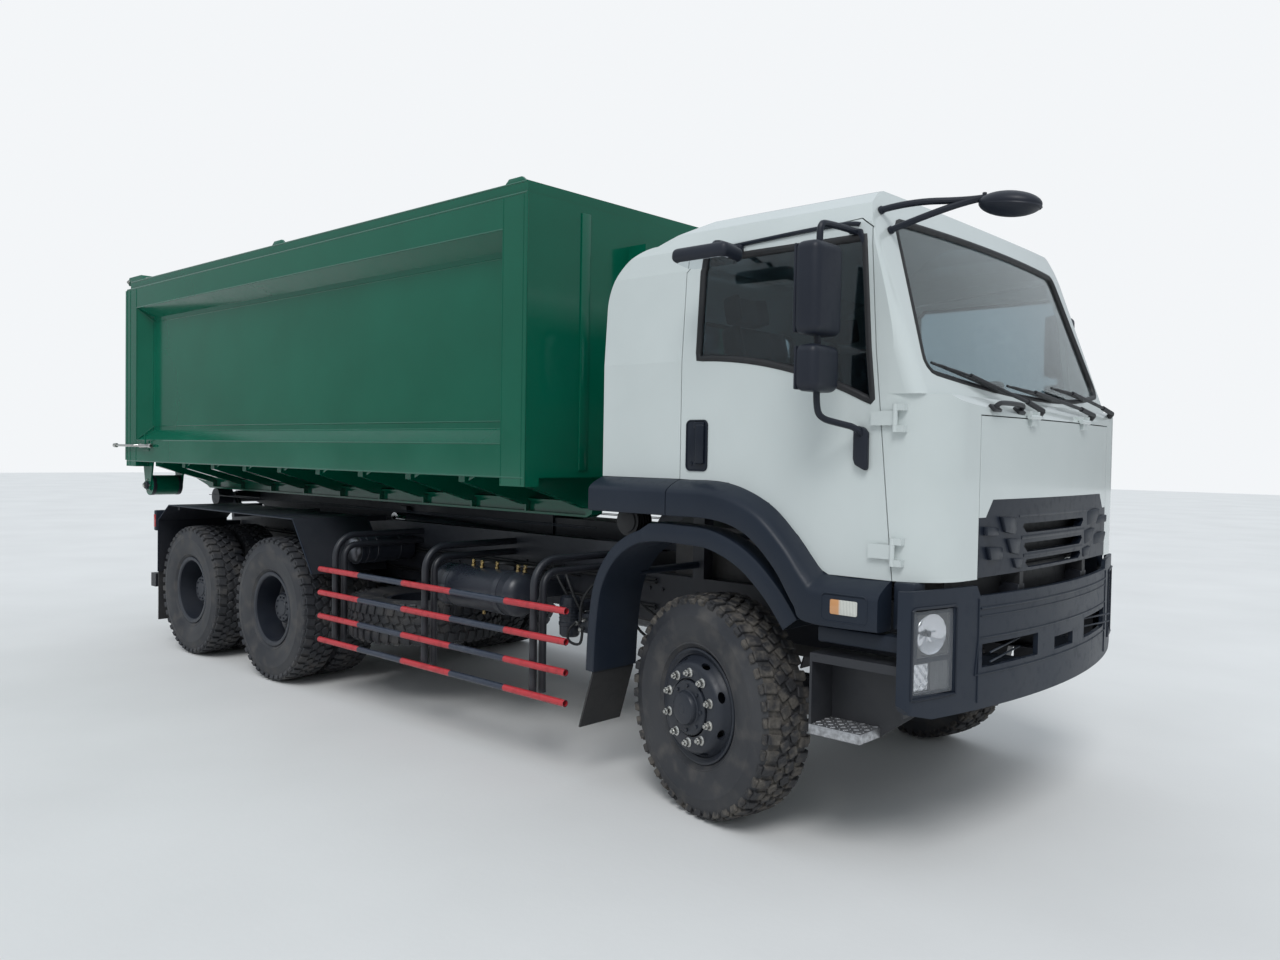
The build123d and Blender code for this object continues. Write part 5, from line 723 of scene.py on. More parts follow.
def addSideTrim():
    flares = bmesh.new()
    for side, sideName in sideNames.items():
        pour(flares, trimSheet(side, range(0, trim["cabSteps"] + 1)))
        pour(flares, blockMesh((0.097, 0.098, 0.199), 0.012, 2), place(1.0035, side * 1.094, 1.140))
        door = bmesh.new()
        pour(door, trimSheet(side, range(trim["cabSteps"], trim["steps"] + 1)))
        ring = [(x, y, 0) for x, y in roundedOutline(0.215, 0.115, 0.02)]    # pressed round the side lamp
        pour(door, tubeMesh(ring, 0.0035, 8, closed=True, smooth=False), onSide(side, *trim["lampFrame"]))
        addPiece("doorTrim_" + sideName, door, "trim_black", "door_" + sideName, stands="door_trim_" + sideName)
        lens = bmesh.new()
        pour(lens, plateMesh(roundedOutline(0.128, 0.062, 0.008), 0.0065, 0.0012), onSide(side, *trim["lamp"]))
        addPiece("sideLamp_" + sideName, lens, "sideLens", "door_" + sideName)
    addPiece("cabFlares", flares, "trim_black", "cab", stands="cab_flares")
    guards, sills = bmesh.new(), bmesh.new()
    for side in sideNames:
        pour(guards, guardSheet(side))
        for x, z in mudguard["stays"]:
            pour(guards, rodMesh(0.02, 0.49, 20), outward(side, x, 0.4525, z))
        pour(sills, blockMesh((0.400, 0.110, 0.070), 0.012, 2), place(0.815, side * 1.115, 0.985))
    addPiece("frontMudguards", guards, "trim_black", "chassis", stands="front_mudguards")
    addPiece("sills", sills, "trim_black", "chassis")


# Window rubbers lie over the edges of the glass
rubber = {"radius": 0.018, "step": 0.03, "facing": 0.6}


def edgeLoops(nodeName, way):
    # The closed edge lines round a node's faces that look one way
    mesh = bmesh.new()
    mesh.from_mesh(frame["nodes"][nodeName].data)
    bmesh.ops.remove_doubles(mesh, verts=mesh.verts, dist=0.00005)
    bmesh.ops.recalc_face_normals(mesh, faces=mesh.faces)
    links = {}
    for edge in mesh.edges:
        if sum(face.normal.dot(way) > rubber["facing"] for face in edge.link_faces) == 1:
            first, second = edge.verts
            links.setdefault(first.index, []).append(second.index)
            links.setdefault(second.index, []).append(first.index)
    points = [point.co.copy() for point in mesh.verts]
    mesh.free()
    loops = []
    while links:
        loop, here = [], next(iter(links))
        while here in links:
            loop.append(here)
            nexts = [other for other in links.pop(here) if other in links]
            here = nexts[0] if nexts else None
        if len(loop) > 3:
            loops.append([points[index] for index in loop])
    return loops


def rubberMesh(points):
    # A tube along a closed line, its points evenly spaced
    pairs = edgesOf(points)
    lengths = [(end - start).length for start, end in pairs]
    count = max(8, round(sum(lengths) / rubber["step"]))
    line, index, passed = [], 0, 0.0
    for number in range(count):
        goal = number / count * sum(lengths)
        while passed + lengths[index] < goal:
            passed += lengths[index]
            index += 1
        start, end = pairs[index]
        line.append(start.lerp(end, (goal - passed) / max(lengths[index], 1e-9)))
    return tubeMesh(line, rubber["radius"], 12, closed=True, smooth=False)


def addWindowRubbers():
    mesh = bmesh.new()
    for way, wanted in (((1, 0, 0.3), lambda x: x > axleX), ((-1, 0, 0), lambda x: x < axleX - 0.5)):
        for loop in edgeLoops("cab_glass", Vector(way).normalized()):
            if wanted(loop[0].x) and wanted(loop[-1].x):
                pour(mesh, rubberMesh(loop))
    addPiece("cabWindowRubbers", mesh, "rubberSeal", "cab", sharp=60)
    for side, sideName in sideNames.items():
        mesh = bmesh.new()
        for loop in edgeLoops("door_glass_" + sideName, Vector((0, side, 0))):
            pour(mesh, rubberMesh(loop))
        addPiece("doorRubber_" + sideName, mesh, "rubberSeal", "door_" + sideName, sharp=60)


# Headlamps: a clear lens over a bright bowl and a fluted lower lamp, in a dark case
lamp = {"y": (0.961, 1.198), "z": (0.792, 1.133), "split": 0.935, "steps": 40, "rings": 14, "turns": 56,
        "bowlMiddle": (1.088, 1.036), "bowlSize": (0.088, 0.083), "bowlDepth": (0.011, 0.0185, 0.0016),
        "mouth": 0.0065}


def lampX(y, depth):
    corner = max(0.0, abs(y) - 1.1825)
    return axleX + 1.245 - y * y / 8.8 - (0.06 - math.sqrt(0.0036 - corner * corner)) - depth


def addHeadlamps():
    lens, bright, grey, case = bmesh.new(), bmesh.new(), bmesh.new(), bmesh.new()
    (lowY, highY), (lowZ, highZ), split = lamp["y"], lamp["z"], lamp["split"]
    (middleY, middleZ), (halfY, halfZ) = lamp["bowlMiddle"], lamp["bowlSize"]
    shares = [number / lamp["steps"] for number in range(lamp["steps"] + 1)]

    def bowlDepth(y, z):
        edge, deep, flute = lamp["bowlDepth"]
        reach = ((y - middleY) / halfY) ** 2 + ((z - middleZ) / halfZ) ** 2
        turn = math.atan2(z - middleZ, y - middleY)
        return edge + max(0.0, 1 - reach) * (deep + flute * math.cos(turn * 7)) - (0.002 if reach > 1 else 0)

    for side in sideNames:
        def sheet(target, fromY, toY, fromZ, toZ, depth, thickness=0.001):
            levels = [fromZ + (toZ - fromZ) * share for share in shares]
            across = [fromY + (toY - fromY) * share for share in shares]
            pour(target, sheetMesh([[(lampX(y, depth(y, z) if callable(depth) else depth), side * y, z) for y in across]
                                    for z in levels], thickness))

        sheet(lens, lowY, highY, lowZ, highZ, 0.006, 0.003)
        rows = []
        for share in (ring / lamp["rings"] for ring in range(lamp["rings"] + 1)):
            row = []
            for turn in (math.tau * number / lamp["turns"] for number in range(lamp["turns"] + 1)):
                y = min(max(middleY + halfY * share * math.cos(turn), lowY + 0.030), highY - 0.014)
                z = min(max(middleZ + halfZ * share * math.sin(turn), split + 0.016), highZ - 0.016)
                row.append((lampX(y, bowlDepth(y, z)), side * y, z))
            rows.append(row)
        pour(bright, sheetMesh(rows, 0.001))
        sheet(grey, lowY + 0.012, highY - 0.012, split + 0.010, highZ - 0.010, 0.0315)
        sheet(grey, lowY + 0.012, 1.075, lowZ + 0.008, split - 0.012, lambda y, z: 0.020 + 0.003 * math.sin(y * 520))
        sheet(bright, 1.085, highY - 0.016, lowZ + 0.016, split - 0.020,
              lambda y, z: 0.024 + 0.003 * math.cos(y * 170) * math.cos(z * 150))
        sheet(case, lowY, highY, lowZ, highZ, 0.0325)
        for ends in ((lowY, highY, highZ - 0.016, highZ), (lowY, highY, lowZ, lowZ + 0.012),
                     (lowY, lowY + 0.018, lowZ, highZ), (highY - 0.014, highY, lowZ, highZ),
                     (lowY, highY, split - 0.012, split + 0.010), (highY - 0.030, highY, split, highZ)):
            sheet(case, *ends, 0.0085, 0.008)
        pour(case, rodMesh(0.013, 0.012, 20, edge=0.003),
             along((lampX(middleY, 0.026), side * middleY, middleZ), (lampX(middleY, 0.010), side * middleY, middleZ)))
        corners = [(lowY - 0.012, lowZ - 0.012), (highY + 0.006, lowZ - 0.012), (highY + 0.006, highZ + 0.012),
                   (lowY - 0.012, highZ + 0.012)]
        outline = [Vector(start).lerp(Vector(end), share) for start, end in edgesOf(corners) for share in shares]
        pour(case, tubeMesh([(lampX(y, -0.0005), side * y, z) for y, z in outline[::4]], lamp["mouth"], 8, closed=True,
                            smooth=False))
    addPiece("headlampLenses", lens, "lamp_clear", "chassis", stands="headlamps")
    addPiece("headlampBowls", bright, "lampBowl", "chassis")
    addPiece("headlampHousings", grey, "lampHousing", "chassis")
    addPiece("headlampCases", case, "grille_black", "chassis")


# Bumper: pressed fold lines, the split between its centre and its ends, and the frame round the air slots
bumper = {"half": 0.785, "folds": ((1.118, 0.001, 0.005, 8), (1.085, 0.001, 0.003, 8), (1.1195, -0.0145, 0.015, 16)),
          "split": 0.800, "slotFrame": [(-0.82, 0.838), (0.82, 0.838), (0.80, 0.992), (-0.80, 0.992)],
          "bars": (0.895, 0.935)}


def addBumperLines():
    mesh = bmesh.new()
    for level, out, radius, sides in bumper["folds"]:
        reach = [bumper["half"] * part / 10 for part in range(-10, 11)]
        pour(mesh, tubeMesh([(lampX(y, -out), y, level) for y in reach], radius, sides))
    for side in sideNames:
        y = side * bumper["split"]
        line = [(lampX(y, -0.001), y, 0.72 + part * 0.044) for part in range(11)]
        pour(mesh, tubeMesh(line, 0.0035, 8, smooth=False))
    points = [Vector(start).lerp(Vector(end), part / 12) for start, end in edgesOf(bumper["slotFrame"])
              for part in range(12)]
    pour(mesh, tubeMesh([(lampX(y, -0.001), y, z) for y, z in points], 0.004, 8, closed=True, smooth=False))
    for side in sideNames:
        for level in bumper["bars"]:
            spot = at(lampX(0.535, 0.030), side * 0.535, level)
            pour(mesh, blockMesh((0.008, 0.46, 0.008), 0.002), spot @ Matrix.Rotation(side * -0.118, 4, "Z"))
    addPiece("bumperLines", mesh, "trim_black", "chassis")


# Grille: stepped blocks at both ends, ribs between the slots, a dark plate behind them as painted shade in the slots,
# and a baffle round the hinge lugs
grille = {"ribs": ((1.494, 0.43, 0.016), (1.396, 0.40, 0.030), (1.314, 0.375, 0.028), (1.256, 0.35, 0.014)),
          "blocks": (((0.435, 1.492), (0.625, 1.500), (0.585, 1.432), (0.455, 1.414)),
                     ((0.600, 1.452), (0.765, 1.462), (0.762, 1.424), (0.585, 1.412)),
                     ((0.405, 1.396), (0.560, 1.402), (0.520, 1.338), (0.425, 1.322)),
                     ((0.560, 1.366), (0.745, 1.374), (0.720, 1.318), (0.530, 1.306)),
                     ((0.385, 1.306), (0.500, 1.312), (0.470, 1.268), (0.400, 1.258))),
          "x": 1.196, "ribBack": 0.012, "blockBack": 0.014, "baffleX": 1.125,
          "baffleLevels": (1.142, 1.180, 1.222, 1.262),
          "lug": ((1.0575, 1.246), (1.1178, 1.170), (1.1347, 1.1357), (1.1853, 1.1357), (1.1903, 1.170),
                  (1.1903, 1.246)), "lugY": 0.3797, "lugWidth": 0.0406}


def addGrille():
    mesh, back, baffle = bmesh.new(), bmesh.new(), bmesh.new()
    for level, half, height in grille["ribs"]:
        section = ((0.0, height / 2), (0.010, height / 2 - 0.002), (0.0125, height * 0.2), (0.0115, -height * 0.1),
                   (0.004, -height / 2 + 0.002), (0.0, -height / 2))
        across = [half * part / 8 for part in range(-8, 9)]
        rows = [spots([(grille["x"] - y * y / 18 - grille["ribBack"] + out, y, level + up) for y in across])
                for out, up in section]
        pour(mesh, sheetMesh(rows, 0.002))
    for side in sideNames:
        for block in grille["blocks"]:
            middle = sum(y for y, z in block) / len(block)
            spot = place(grille["x"] - middle * middle / 18 - grille["blockBack"], side * middle, 0)
            pour(mesh, plateMesh([((y - middle) * side, z) for y, z in block], 0.022, 0.006),
                 spot @ Matrix.Rotation(-side * middle / 9, 4, "Z") @ acrossTruck)
    addPiece("grilleRibs", mesh, "grille_black", "front_flap")
    # A thin dark plate behind the ribs: painted shade seen through the grille's slots
    pour(back, blockMesh((0.006, 1.10, 0.24), 0.001), place(1.112, 0, 1.372))
    addPiece("grilleShadePlate", back, "rubberSeal", "front_flap")
    across = [-0.86 + 1.72 * part / 24 for part in range(25)]
    pour(baffle, sheetMesh([spots([(grille["baffleX"] - y * y / 8.8, y, z) for y in across])
                            for z in grille["baffleLevels"]], 0.003))
    for side in sideNames:
        pour(baffle, plateMesh(grille["lug"], grille["lugWidth"]), onSide(side, 0, grille["lugY"], 0))
    addPiece("frontBaffle", baffle, "rubberSeal", "cab")


# Wipers: pivot and both ends of the blade, as (y, z) on the cab's face; a grab handle below them
wipers = {"spots": (((-0.209, 1.955), (-0.500, 2.048), (-1.000, 2.140)),
                    ((0.500, 1.962), (0.100, 2.032), (-0.389, 2.078)),
                    ((0.860, 1.985), (0.640, 2.062), (0.150, 2.100))),
          "handle": ((-0.70, 1.962, 0.002), (-0.70, 1.962, 0.030), (-0.66, 1.964, 0.038), (-0.46, 1.964, 0.038),
                     (-0.42, 1.962, 0.030), (-0.42, 1.962, 0.002)), "feet": (-0.69, -0.43),
          "frame": ((0.18, 0.014), (0.30, 0.022), (0.5, 0.027), (0.70, 0.022), (0.82, 0.014)),
          "claw": ((-0.13, 0.011), (-0.06, 0.018), (0, 0.019), (0.06, 0.018), (0.13, 0.011))}


def addWipers():
    mesh, handle = bmesh.new(), bmesh.new()
    for pivot, near, far in wipers["spots"]:
        def onBlade(share, out):
            return cabFace(*Vector(near).lerp(Vector(far), share), out)

        knee = Vector(pivot).lerp(Vector(near).lerp(Vector(far), 0.5), 0.22)
        pour(mesh, rodMesh(0.017, 0.030, 20, tip=0.013, edge=0.004),
             along(cabFace(*pivot, 0.001), cabFace(*pivot, 0.034)))
        for points, radius, sides, smooth in (
                ((cabFace(*pivot, 0.026), cabFace(*knee, 0.034)), 0.0130, 12, False),
                ((cabFace(*knee, 0.034), onBlade(0.5, 0.031)), 0.009, 12, False),
                ([onBlade(part / 10, 0.010) for part in range(11)], 0.0058, 8, True),
                ([onBlade(*spot) for spot in wipers["frame"]], 0.0055, 8, True)):
            pour(mesh, tubeMesh(points, radius, sides, smooth=smooth))
        for middle in (0.18, 0.82):
            pour(mesh, tubeMesh([onBlade(middle + shift, out) for shift, out in wipers["claw"]], 0.004, 8))
    addPiece("wiperSet", mesh, "wiper_black", "cab", stands="wipers", sharp=60)
    pour(handle, tubeMesh([cabFace(*spot) for spot in wipers["handle"]], 0.011, 16))
    for y in wipers["feet"]:
        pour(handle, blockMesh((0.075, 0.040, 0.016), 0.006, 2),
             Matrix.Translation(cabFace(y, 1.962, 0.006)) @ turnBy(45, "Y") @ turnBy(90, "Z"))
    addPiece("grabHandle", handle, "wiper_black", "cab")


# Mirrors: housings with soft corners on bent arms, and the glass in them; the kerb mirror is on the right door only
mirrors = {"arm": ((0.800, 1.150, 1.840), (0.795, 1.185, 1.870), (0.745, 1.230, 1.885), (0.705, 1.330, 1.905),
                   (0.700, 1.350, 1.960), (0.700, 1.350, 2.100), (0.700, 1.350, 2.400), (0.700, 1.350, 2.620),
                   (0.702, 1.350, 2.700), (0.705, 1.300, 2.706), (0.715, 1.180, 2.707), (0.720, 1.100, 2.705)),
           "armRadius": 0.014,
           "heads": (((0.700, 1.350, 2.430), (0.118, 0.208, 0.378)), ((0.700, 1.350, 2.1075), (0.108, 0.198, 0.193))),
           "foot": ((0.772, 1.880), (0.812, 1.872), (0.829, 1.850), (0.829, 1.700), (0.820, 1.690), (0.770, 1.715),
                    (0.762, 1.740), (0.762, 1.862)),
           "topPlate": ((0.690, 2.725), (0.752, 2.712), (0.775, 2.640), (0.760, 2.632), (0.735, 2.690), (0.690, 2.698)),
           "kerb": (0.316, 0.148, 0.066),
           "kerbArm": ((0.130, -1.330, 2.665), (0.120, -1.320, 2.700), (0.110, -1.240, 2.716), (0.100, -1.105, 2.710)),
           "dome": (0.126, 0.098, 0.050), "joint": (1.205, -0.925, 2.806),
           "frontArms": (((-0.985, 2.715), (0.965, -1.015, 2.742)), ((-1.010, 2.800), (0.915, -0.995, 2.822)))}


def addDoorMirrors():
    for side, sideName in sideNames.items():
        mesh, glass = bmesh.new(), bmesh.new()
        pour(mesh, tubeMesh(spots(mirrors["arm"], side), mirrors["armRadius"], 16))
        for (x, y, z), (depth, width, height) in mirrors["heads"]:
            pour(mesh, blockMesh((depth, width, height), 0.036, 5), place(x, side * y, z))
            pour(mesh, blockMesh((0.012, width - 0.016, height - 0.016), 0.005, 2),
                 place(x - depth / 2 + 0.005, side * y, z))
            pour(glass, plateMesh(roundedOutline(width - 0.030, height - 0.030, 0.022), 0.002),
                 place(x - depth / 2 - 0.001, side * y, z) @ turnBy(-90, "Y") @ turnBy(90, "Z"))
        pour(mesh, plateMesh(mirrors["foot"], 0.028, 0.008), onSide(side, 0, 1.1345, 0))
        pour(mesh, plateMesh(mirrors["topPlate"], 0.012, 0.004), onSide(side, 0, 1.097, 0))
        if side == right:
            pour(mesh, blockMesh(mirrors["kerb"], 0.028, 5), place(0.100, -1.335, 2.6425, turnX=-7))
            pour(mesh, tubeMesh(spots(mirrors["kerbArm"]), 0.011, 12))
            pour(mesh, blockMesh((0.060, 0.030, 0.040), 0.008, 2), place(0.100, -1.108, 2.704))
            pour(glass, plateMesh(roundedOutline(0.280, 0.115, 0.03), 0.002), place(0.100, -1.333, 2.6085, turnX=-7))
        addPiece("doorMirrors_" + sideName, mesh, "mirror_black", "door_" + sideName, stands="door_mirrors_" + sideName)
        addPiece("mirrorGlass_" + sideName, glass, "mirrorFace", "door_" + sideName)


def addFrontMirror():
    mesh, glass, dome = bmesh.new(), bmesh.new(), bmesh.new()
    depth, width, height = mirrors["dome"]
    bmesh.ops.create_uvsphere(dome, u_segments=48, v_segments=24, radius=1,
                              matrix=Matrix.Diagonal((depth, width, height, 1)))
    pour(mesh, dome, place(1.300, -0.900, 2.772, turnY=8))
    pour(mesh, turnedMesh(((0.0, 0.0), (0.96, 0.0), (1.0, 0.06), (0.97, 0.14), (0.0, 0.14)), 64, closed=False),
         place(1.300, -0.900, 2.756, turnY=8) @ Matrix.Diagonal((depth, width, 0.1, 1)))
    pour(glass, turnedMesh(((0.0, -0.020), (0.6, -0.013), (0.92, 0.0), (0.0, 0.004)), 64, closed=False),
         place(1.299, -0.900, 2.7555, turnY=8) @ Matrix.Diagonal((depth, width, 1, 1)))
    joint = Vector(mirrors["joint"]) + Vector((axleX, 0, 0))
    for foot, bend in mirrors["frontArms"]:
        pour(mesh, rodMesh(0.018, 0.014, 20, edge=0.003), along(cabFace(*foot, 0.001), cabFace(*foot, 0.02)))
        pour(mesh, tubeMesh([cabFace(*foot, 0.010), *spots([bend]), joint - Vector((0.06, 0.01, 0.003)), joint],
                            mirrors["armRadius"], 16))
    pour(mesh, rodMesh(0.013, 0.050, 16, edge=0.004),
         along(joint - Vector((0.02, 0, 0.002)), joint + Vector((0.03, 0, -0.01))))
    pour(mesh, rodMesh(0.009, 0.036, 12, edge=0.003), at(joint.x, joint.y, joint.z - 0.014))
    addPiece("frontMirror", mesh, "mirror_black", "cab", stands="front_mirror")
    addPiece("frontMirrorGlass", glass, "mirrorFace", "cab")


# Door fittings: the handle in its well, the gutter over the window and the lock
doorFittings = {"well": (-0.100, 1.1335, 1.790), "blocks": (((0.050, 0.190, 0.018), 0.008, 3, (0.026, 0.006, 0.014)),
                                                            ((0.064, 0.030, 0.012), 0.005, 2, (0.018, 0.098, 0.010))),
                "lock": (-0.034, -0.086, 0.004),
                "gutter": ((-0.020, 1.098, 2.722), (0.25, 1.097, 2.735), (0.50, 1.096, 2.745), (0.700, 1.092, 2.748),
                           (0.735, 1.094, 2.735))}


def addDoorFittings():
    for side, sideName in sideNames.items():
        mesh = bmesh.new()
        well = onSide(side, *doorFittings["well"])
        pour(mesh, plateMesh(roundedOutline(0.132, 0.244, 0.024), 0.005, 0.002), well)
        rimLine = [(x, y, 0.004) for x, y in roundedOutline(0.126, 0.238, 0.022)]
        pour(mesh, tubeMesh(rimLine, 0.0045, 8, closed=True, smooth=False), well)
        for size, radius, segments, spot in doorFittings["blocks"]:
            pour(mesh, blockMesh(size, radius, segments), well @ at(*spot))
        pour(mesh, rodMesh(0.011, 0.004, 20, edge=0.001), well @ at(*doorFittings["lock"]))
        pour(mesh, tubeMesh(spots(doorFittings["gutter"], side), 0.010, 12))
        addPiece("doorFittings_" + sideName, mesh, "grille_black", "door_" + sideName)


# Entry steps: bright chequered treads on the dark brackets
steps = {"size": (0.252, 0.172, 0.044), "middle": (0.7255, 1.1155, 0.5745), "bar": (0.024, 0.006, 0.005),
         "firstBar": (0.618, 1.045, 0.5975), "pitch": (0.031, 0.035), "bars": (8, 5)}


def addStepTreads():
    mesh = bmesh.new()
    x, y, z = steps["firstBar"]
    columns, rows = steps["bars"]
    for side in sideNames:
        middle = steps["middle"]
        pour(mesh, blockMesh(steps["size"], 0.004, 2), place(middle[0], side * middle[1], middle[2]))
        for row in range(rows):
            for column in range(columns):
                pour(mesh, blockMesh(steps["bar"], 0.0018),
                     place(x + column * steps["pitch"][0], side * (y + row * steps["pitch"][1]), z,
                           turnZ=45 if (row + column) % 2 else -45))
    addPiece("stepTreads", mesh, "plate", "chassis")


# Seats: padded cushions on a dark base; each row has its size, middle, lean and seams
seats = {"y": 0.48, "base": ((0.28, 0.30, 0.128), (-0.05, 1.737)), "crown": 0.30, "fill": 0.8,
         "Cushion": ((0.470, 0.490, 0.118), (0.005, 1.860), 0, (-0.6, 0.6)),
         "Back": ((0.455, 0.500, 0.105), (-0.225, 2.175), 77, (-0.6, 0.6)),
         "Head": ((0.270, 0.150, 0.085), (-0.325, 2.515), 80, ())}


def cushionMesh(size, crown, seams):
    mesh = bmesh.new()
    bmesh.ops.create_cube(mesh, size=2)
    bmesh.ops.subdivide_edges(mesh, edges=mesh.edges, cuts=15, use_grid_fill=True)
    for point in mesh.verts:
        a, b, c = point.co
        bulge = (1 - a ** 4) * (1 - b ** 4)
        edge = 0.94 + 0.06 * (1 - c * c)
        groove = sum(math.exp(-((a - seam) / 0.045) ** 2) for seam in seams) if c > 0.6 else 0
        side = 0.045 * max(0, abs(a) - 0.62) / 0.38 if c > 0 else 0
        point.co = (a * size[0] / 2 * edge * (1 - 0.05 * b * b), b * size[1] / 2 * edge * (1 - 0.05 * a * a),
                    c * size[2] / 2 * (1 - crown + crown * bulge) + side - 0.007 * groove)
    return mesh


def addSeats():
    base = bmesh.new()
    for side, sideName in sideNames.items():
        size, (x, z) = seats["base"]
        pour(base, blockMesh(size, 0.02, 2), place(x, side * seats["y"], z))
        for label in ("Cushion", "Back", "Head"):
            size, (x, z), lean, seams = seats[label]
            mesh = bmesh.new()
            pour(mesh, cushionMesh(size, seats["crown"], seams),
                 place(x, side * seats["y"], z, turnY=lean) @ turnBy(90, "Z"))
            piece = addPiece("seat" + label + "_" + sideName, mesh, "seat_cloth", "cab", sharp=80)
            if label == "Cushion" and side == right:
                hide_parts("seats")
    addPiece("seatBases", base, "dash_grey", "cab")


addSideTrim()
addWindowRubbers()
addHeadlamps()
addBumperLines()
addGrille()
addWipers()
addDoorMirrors()
addFrontMirror()
addDoorFittings()
addStepTreads()
addSeats()
print("cab and front pieces made")

# Container: beads where its plates meet, roof lugs and ribs, gussets, hinge bolts and the gate's seal
box = {"rear": -6.886, "front": -1.280, "half": 1.200, "low": 1.600, "top": 3.180, "roof": 3.252, "post": 1.550,
       "recess": ((-6.670, 1.790), (-1.485, 1.790), (-1.485, 3.000), (-6.670, 3.000)),
       "floor": ((-6.5389, 1.9211), (-1.6161, 1.9211), (-1.6161, 2.8689), (-6.5389, 2.8689)), "recessDepth": 0.110,
       "seams": (-6.676, -1.485, -1.310, -6.811), "lugs": (-4.120, -1.420),
       "lug": ((-0.10, 0), (0.10, 0), (0.055, 0.036), (-0.055, 0.036)),
       "gussets": 10, "firstGusset": -6.446, "gussetPitch": 0.5645, "gusset": ((0, 0), (0.085, 0), (0, -0.036)),
       "ribs": 7, "firstRib": 0.55, "ribPitch": 0.75, "hingeX": -6.906, "hingeZ": 3.258}


def addContainerTrim():
    mesh, fittings = bmesh.new(), bmesh.new()
    rear, front, half, roof = box["rear"], box["front"], box["half"], box["roof"]
    proud, sunk = half - 0.001, half - 0.001 - box["recessDepth"]
    for side in sideNames:
        def bead(start, end, radius):
            pour(mesh, tubeMesh(spots([start, end], side), radius, 8, smooth=False))

        for outline, y in ((box["recess"], proud), (box["floor"], sunk)):
            for start, end in edgesOf(outline):
                bead((start[0], y, start[1]), (end[0], y, end[1]), 0.0045)
        for start, end in zip(box["recess"], box["floor"]):
            bead((start[0], proud, start[1]), (end[0], sunk, end[1]), 0.0045)
        for level in (box["low"], box["top"]):
            bead((rear, half - 0.002, level), (front, half - 0.002, level), 0.006)
        for x in (rear + 0.002, front - 0.002):
            bead((x, half - 0.002, box["post"]), (x, half - 0.002, box["top"]), 0.006)
        for x in box["seams"]:
            bead((x, half + 0.0005, box["post"] + 0.01), (x, half + 0.0005, box["top"] - 0.01), 0.003)
        for y, z, radius in ((half - 0.024, roof - 0.002, 0.006), (half - 0.020, box["top"] + 0.004, 0.005)):
            bead((rear + 0.03, y, z), (front - 0.03, y, z), radius)
        for x in box["lugs"]:
            pour(mesh, plateMesh(box["lug"], 0.022, 0.004), onSide(side, x, half - 0.050, roof - 0.003))
        for number in range(box["gussets"]):
            pour(mesh, plateMesh(box["gusset"], 0.008, 0.001),
                 onSide(side, box["firstGusset"] + number * box["gussetPitch"], 1.070, 1.598))
        for y in (1.105, 1.150):
            pour(fittings, rodMesh(0.014, 0.018, 6, edge=0.002), place(-6.560, side * y, roof - 0.001))
        for radius, length, sides, y, edge in ((0.020, 0.010, 24, 1.174, 0.002), (0.012, 0.012, 6, 1.182, 0.0015)):
            pour(fittings, rodMesh(radius, length, sides, edge=edge), outward(side, box["hingeX"], y, box["hingeZ"]))
    for number in range(box["ribs"]):
        pour(mesh, blockMesh((0.060, 2.2, 0.010), 0.004, 2),
             place(rear + box["firstRib"] + number * box["ribPitch"], 0, roof + 0.003))
    for y in (-0.75, 0.75):
        pour(mesh, blockMesh((0.012, 0.070, 1.50), 0.004, 2), place(front + 0.004, y, 2.39))
    addPiece("containerBeads", mesh, "container_green", "container")
    addPiece("hingeBolts", fittings, "bright", "container")


gate = {"x": -6.9665, "panelWidth": 1.85 / 3, "panelPitch": 1.85 / 3 + 0.130, "middleZ": 2.3925, "panelHalf": 0.6575,
        "pads": (1.70, 2.35, 3.05), "seal": ((-1.190, 1.612), (1.190, 1.612), (1.190, 3.172), (-1.190, 3.172)),
        "handle": ((0.0, 0.46, 1.96), (-0.045, 0.46, 1.97), (-0.055, 0.46, 2.0), (-0.055, 0.46, 2.20),
                   (-0.045, 0.46, 2.23), (0.0, 0.46, 2.24))}


def addGateTrim():
    mesh, seal = bmesh.new(), bmesh.new()
    x, width = gate["x"], gate["panelWidth"]

    def frameLine(target, x, corners, radius):
        for start, end in edgesOf(corners):
            pour(target, tubeMesh(spots([(x, *start), (x, *end)]), radius, 8, smooth=False))

    for number in (-1, 0, 1):
        middle = number * gate["panelPitch"]
        frameLine(mesh, x, [(middle + y * width / 2, gate["middleZ"] + z * gate["panelHalf"])
                            for y, z in ((-1, -1), (1, -1), (1, 1), (-1, 1))], 0.0045)
        pour(mesh, blockMesh((0.030, width - 0.16, 0.060), 0.008, 2), place(x + 0.036, middle, gate["middleZ"]))
    for side in sideNames:
        for level in gate["pads"]:
            pour(mesh, blockMesh((0.018, 0.080, 0.120), 0.006, 2), place(x + 0.003, side * 1.120, level))
        pour(mesh, tubeMesh(spots([(x + out, y, z) for out, y, z in gate["handle"]], side), 0.010, 12))
    frameLine(seal, box["rear"] + 0.001, gate["seal"], 0.006)
    addPiece("gateBeads", mesh, "container_green", "tailgate")
    addPiece("gateSeal", seal, "rubberSeal", "container")


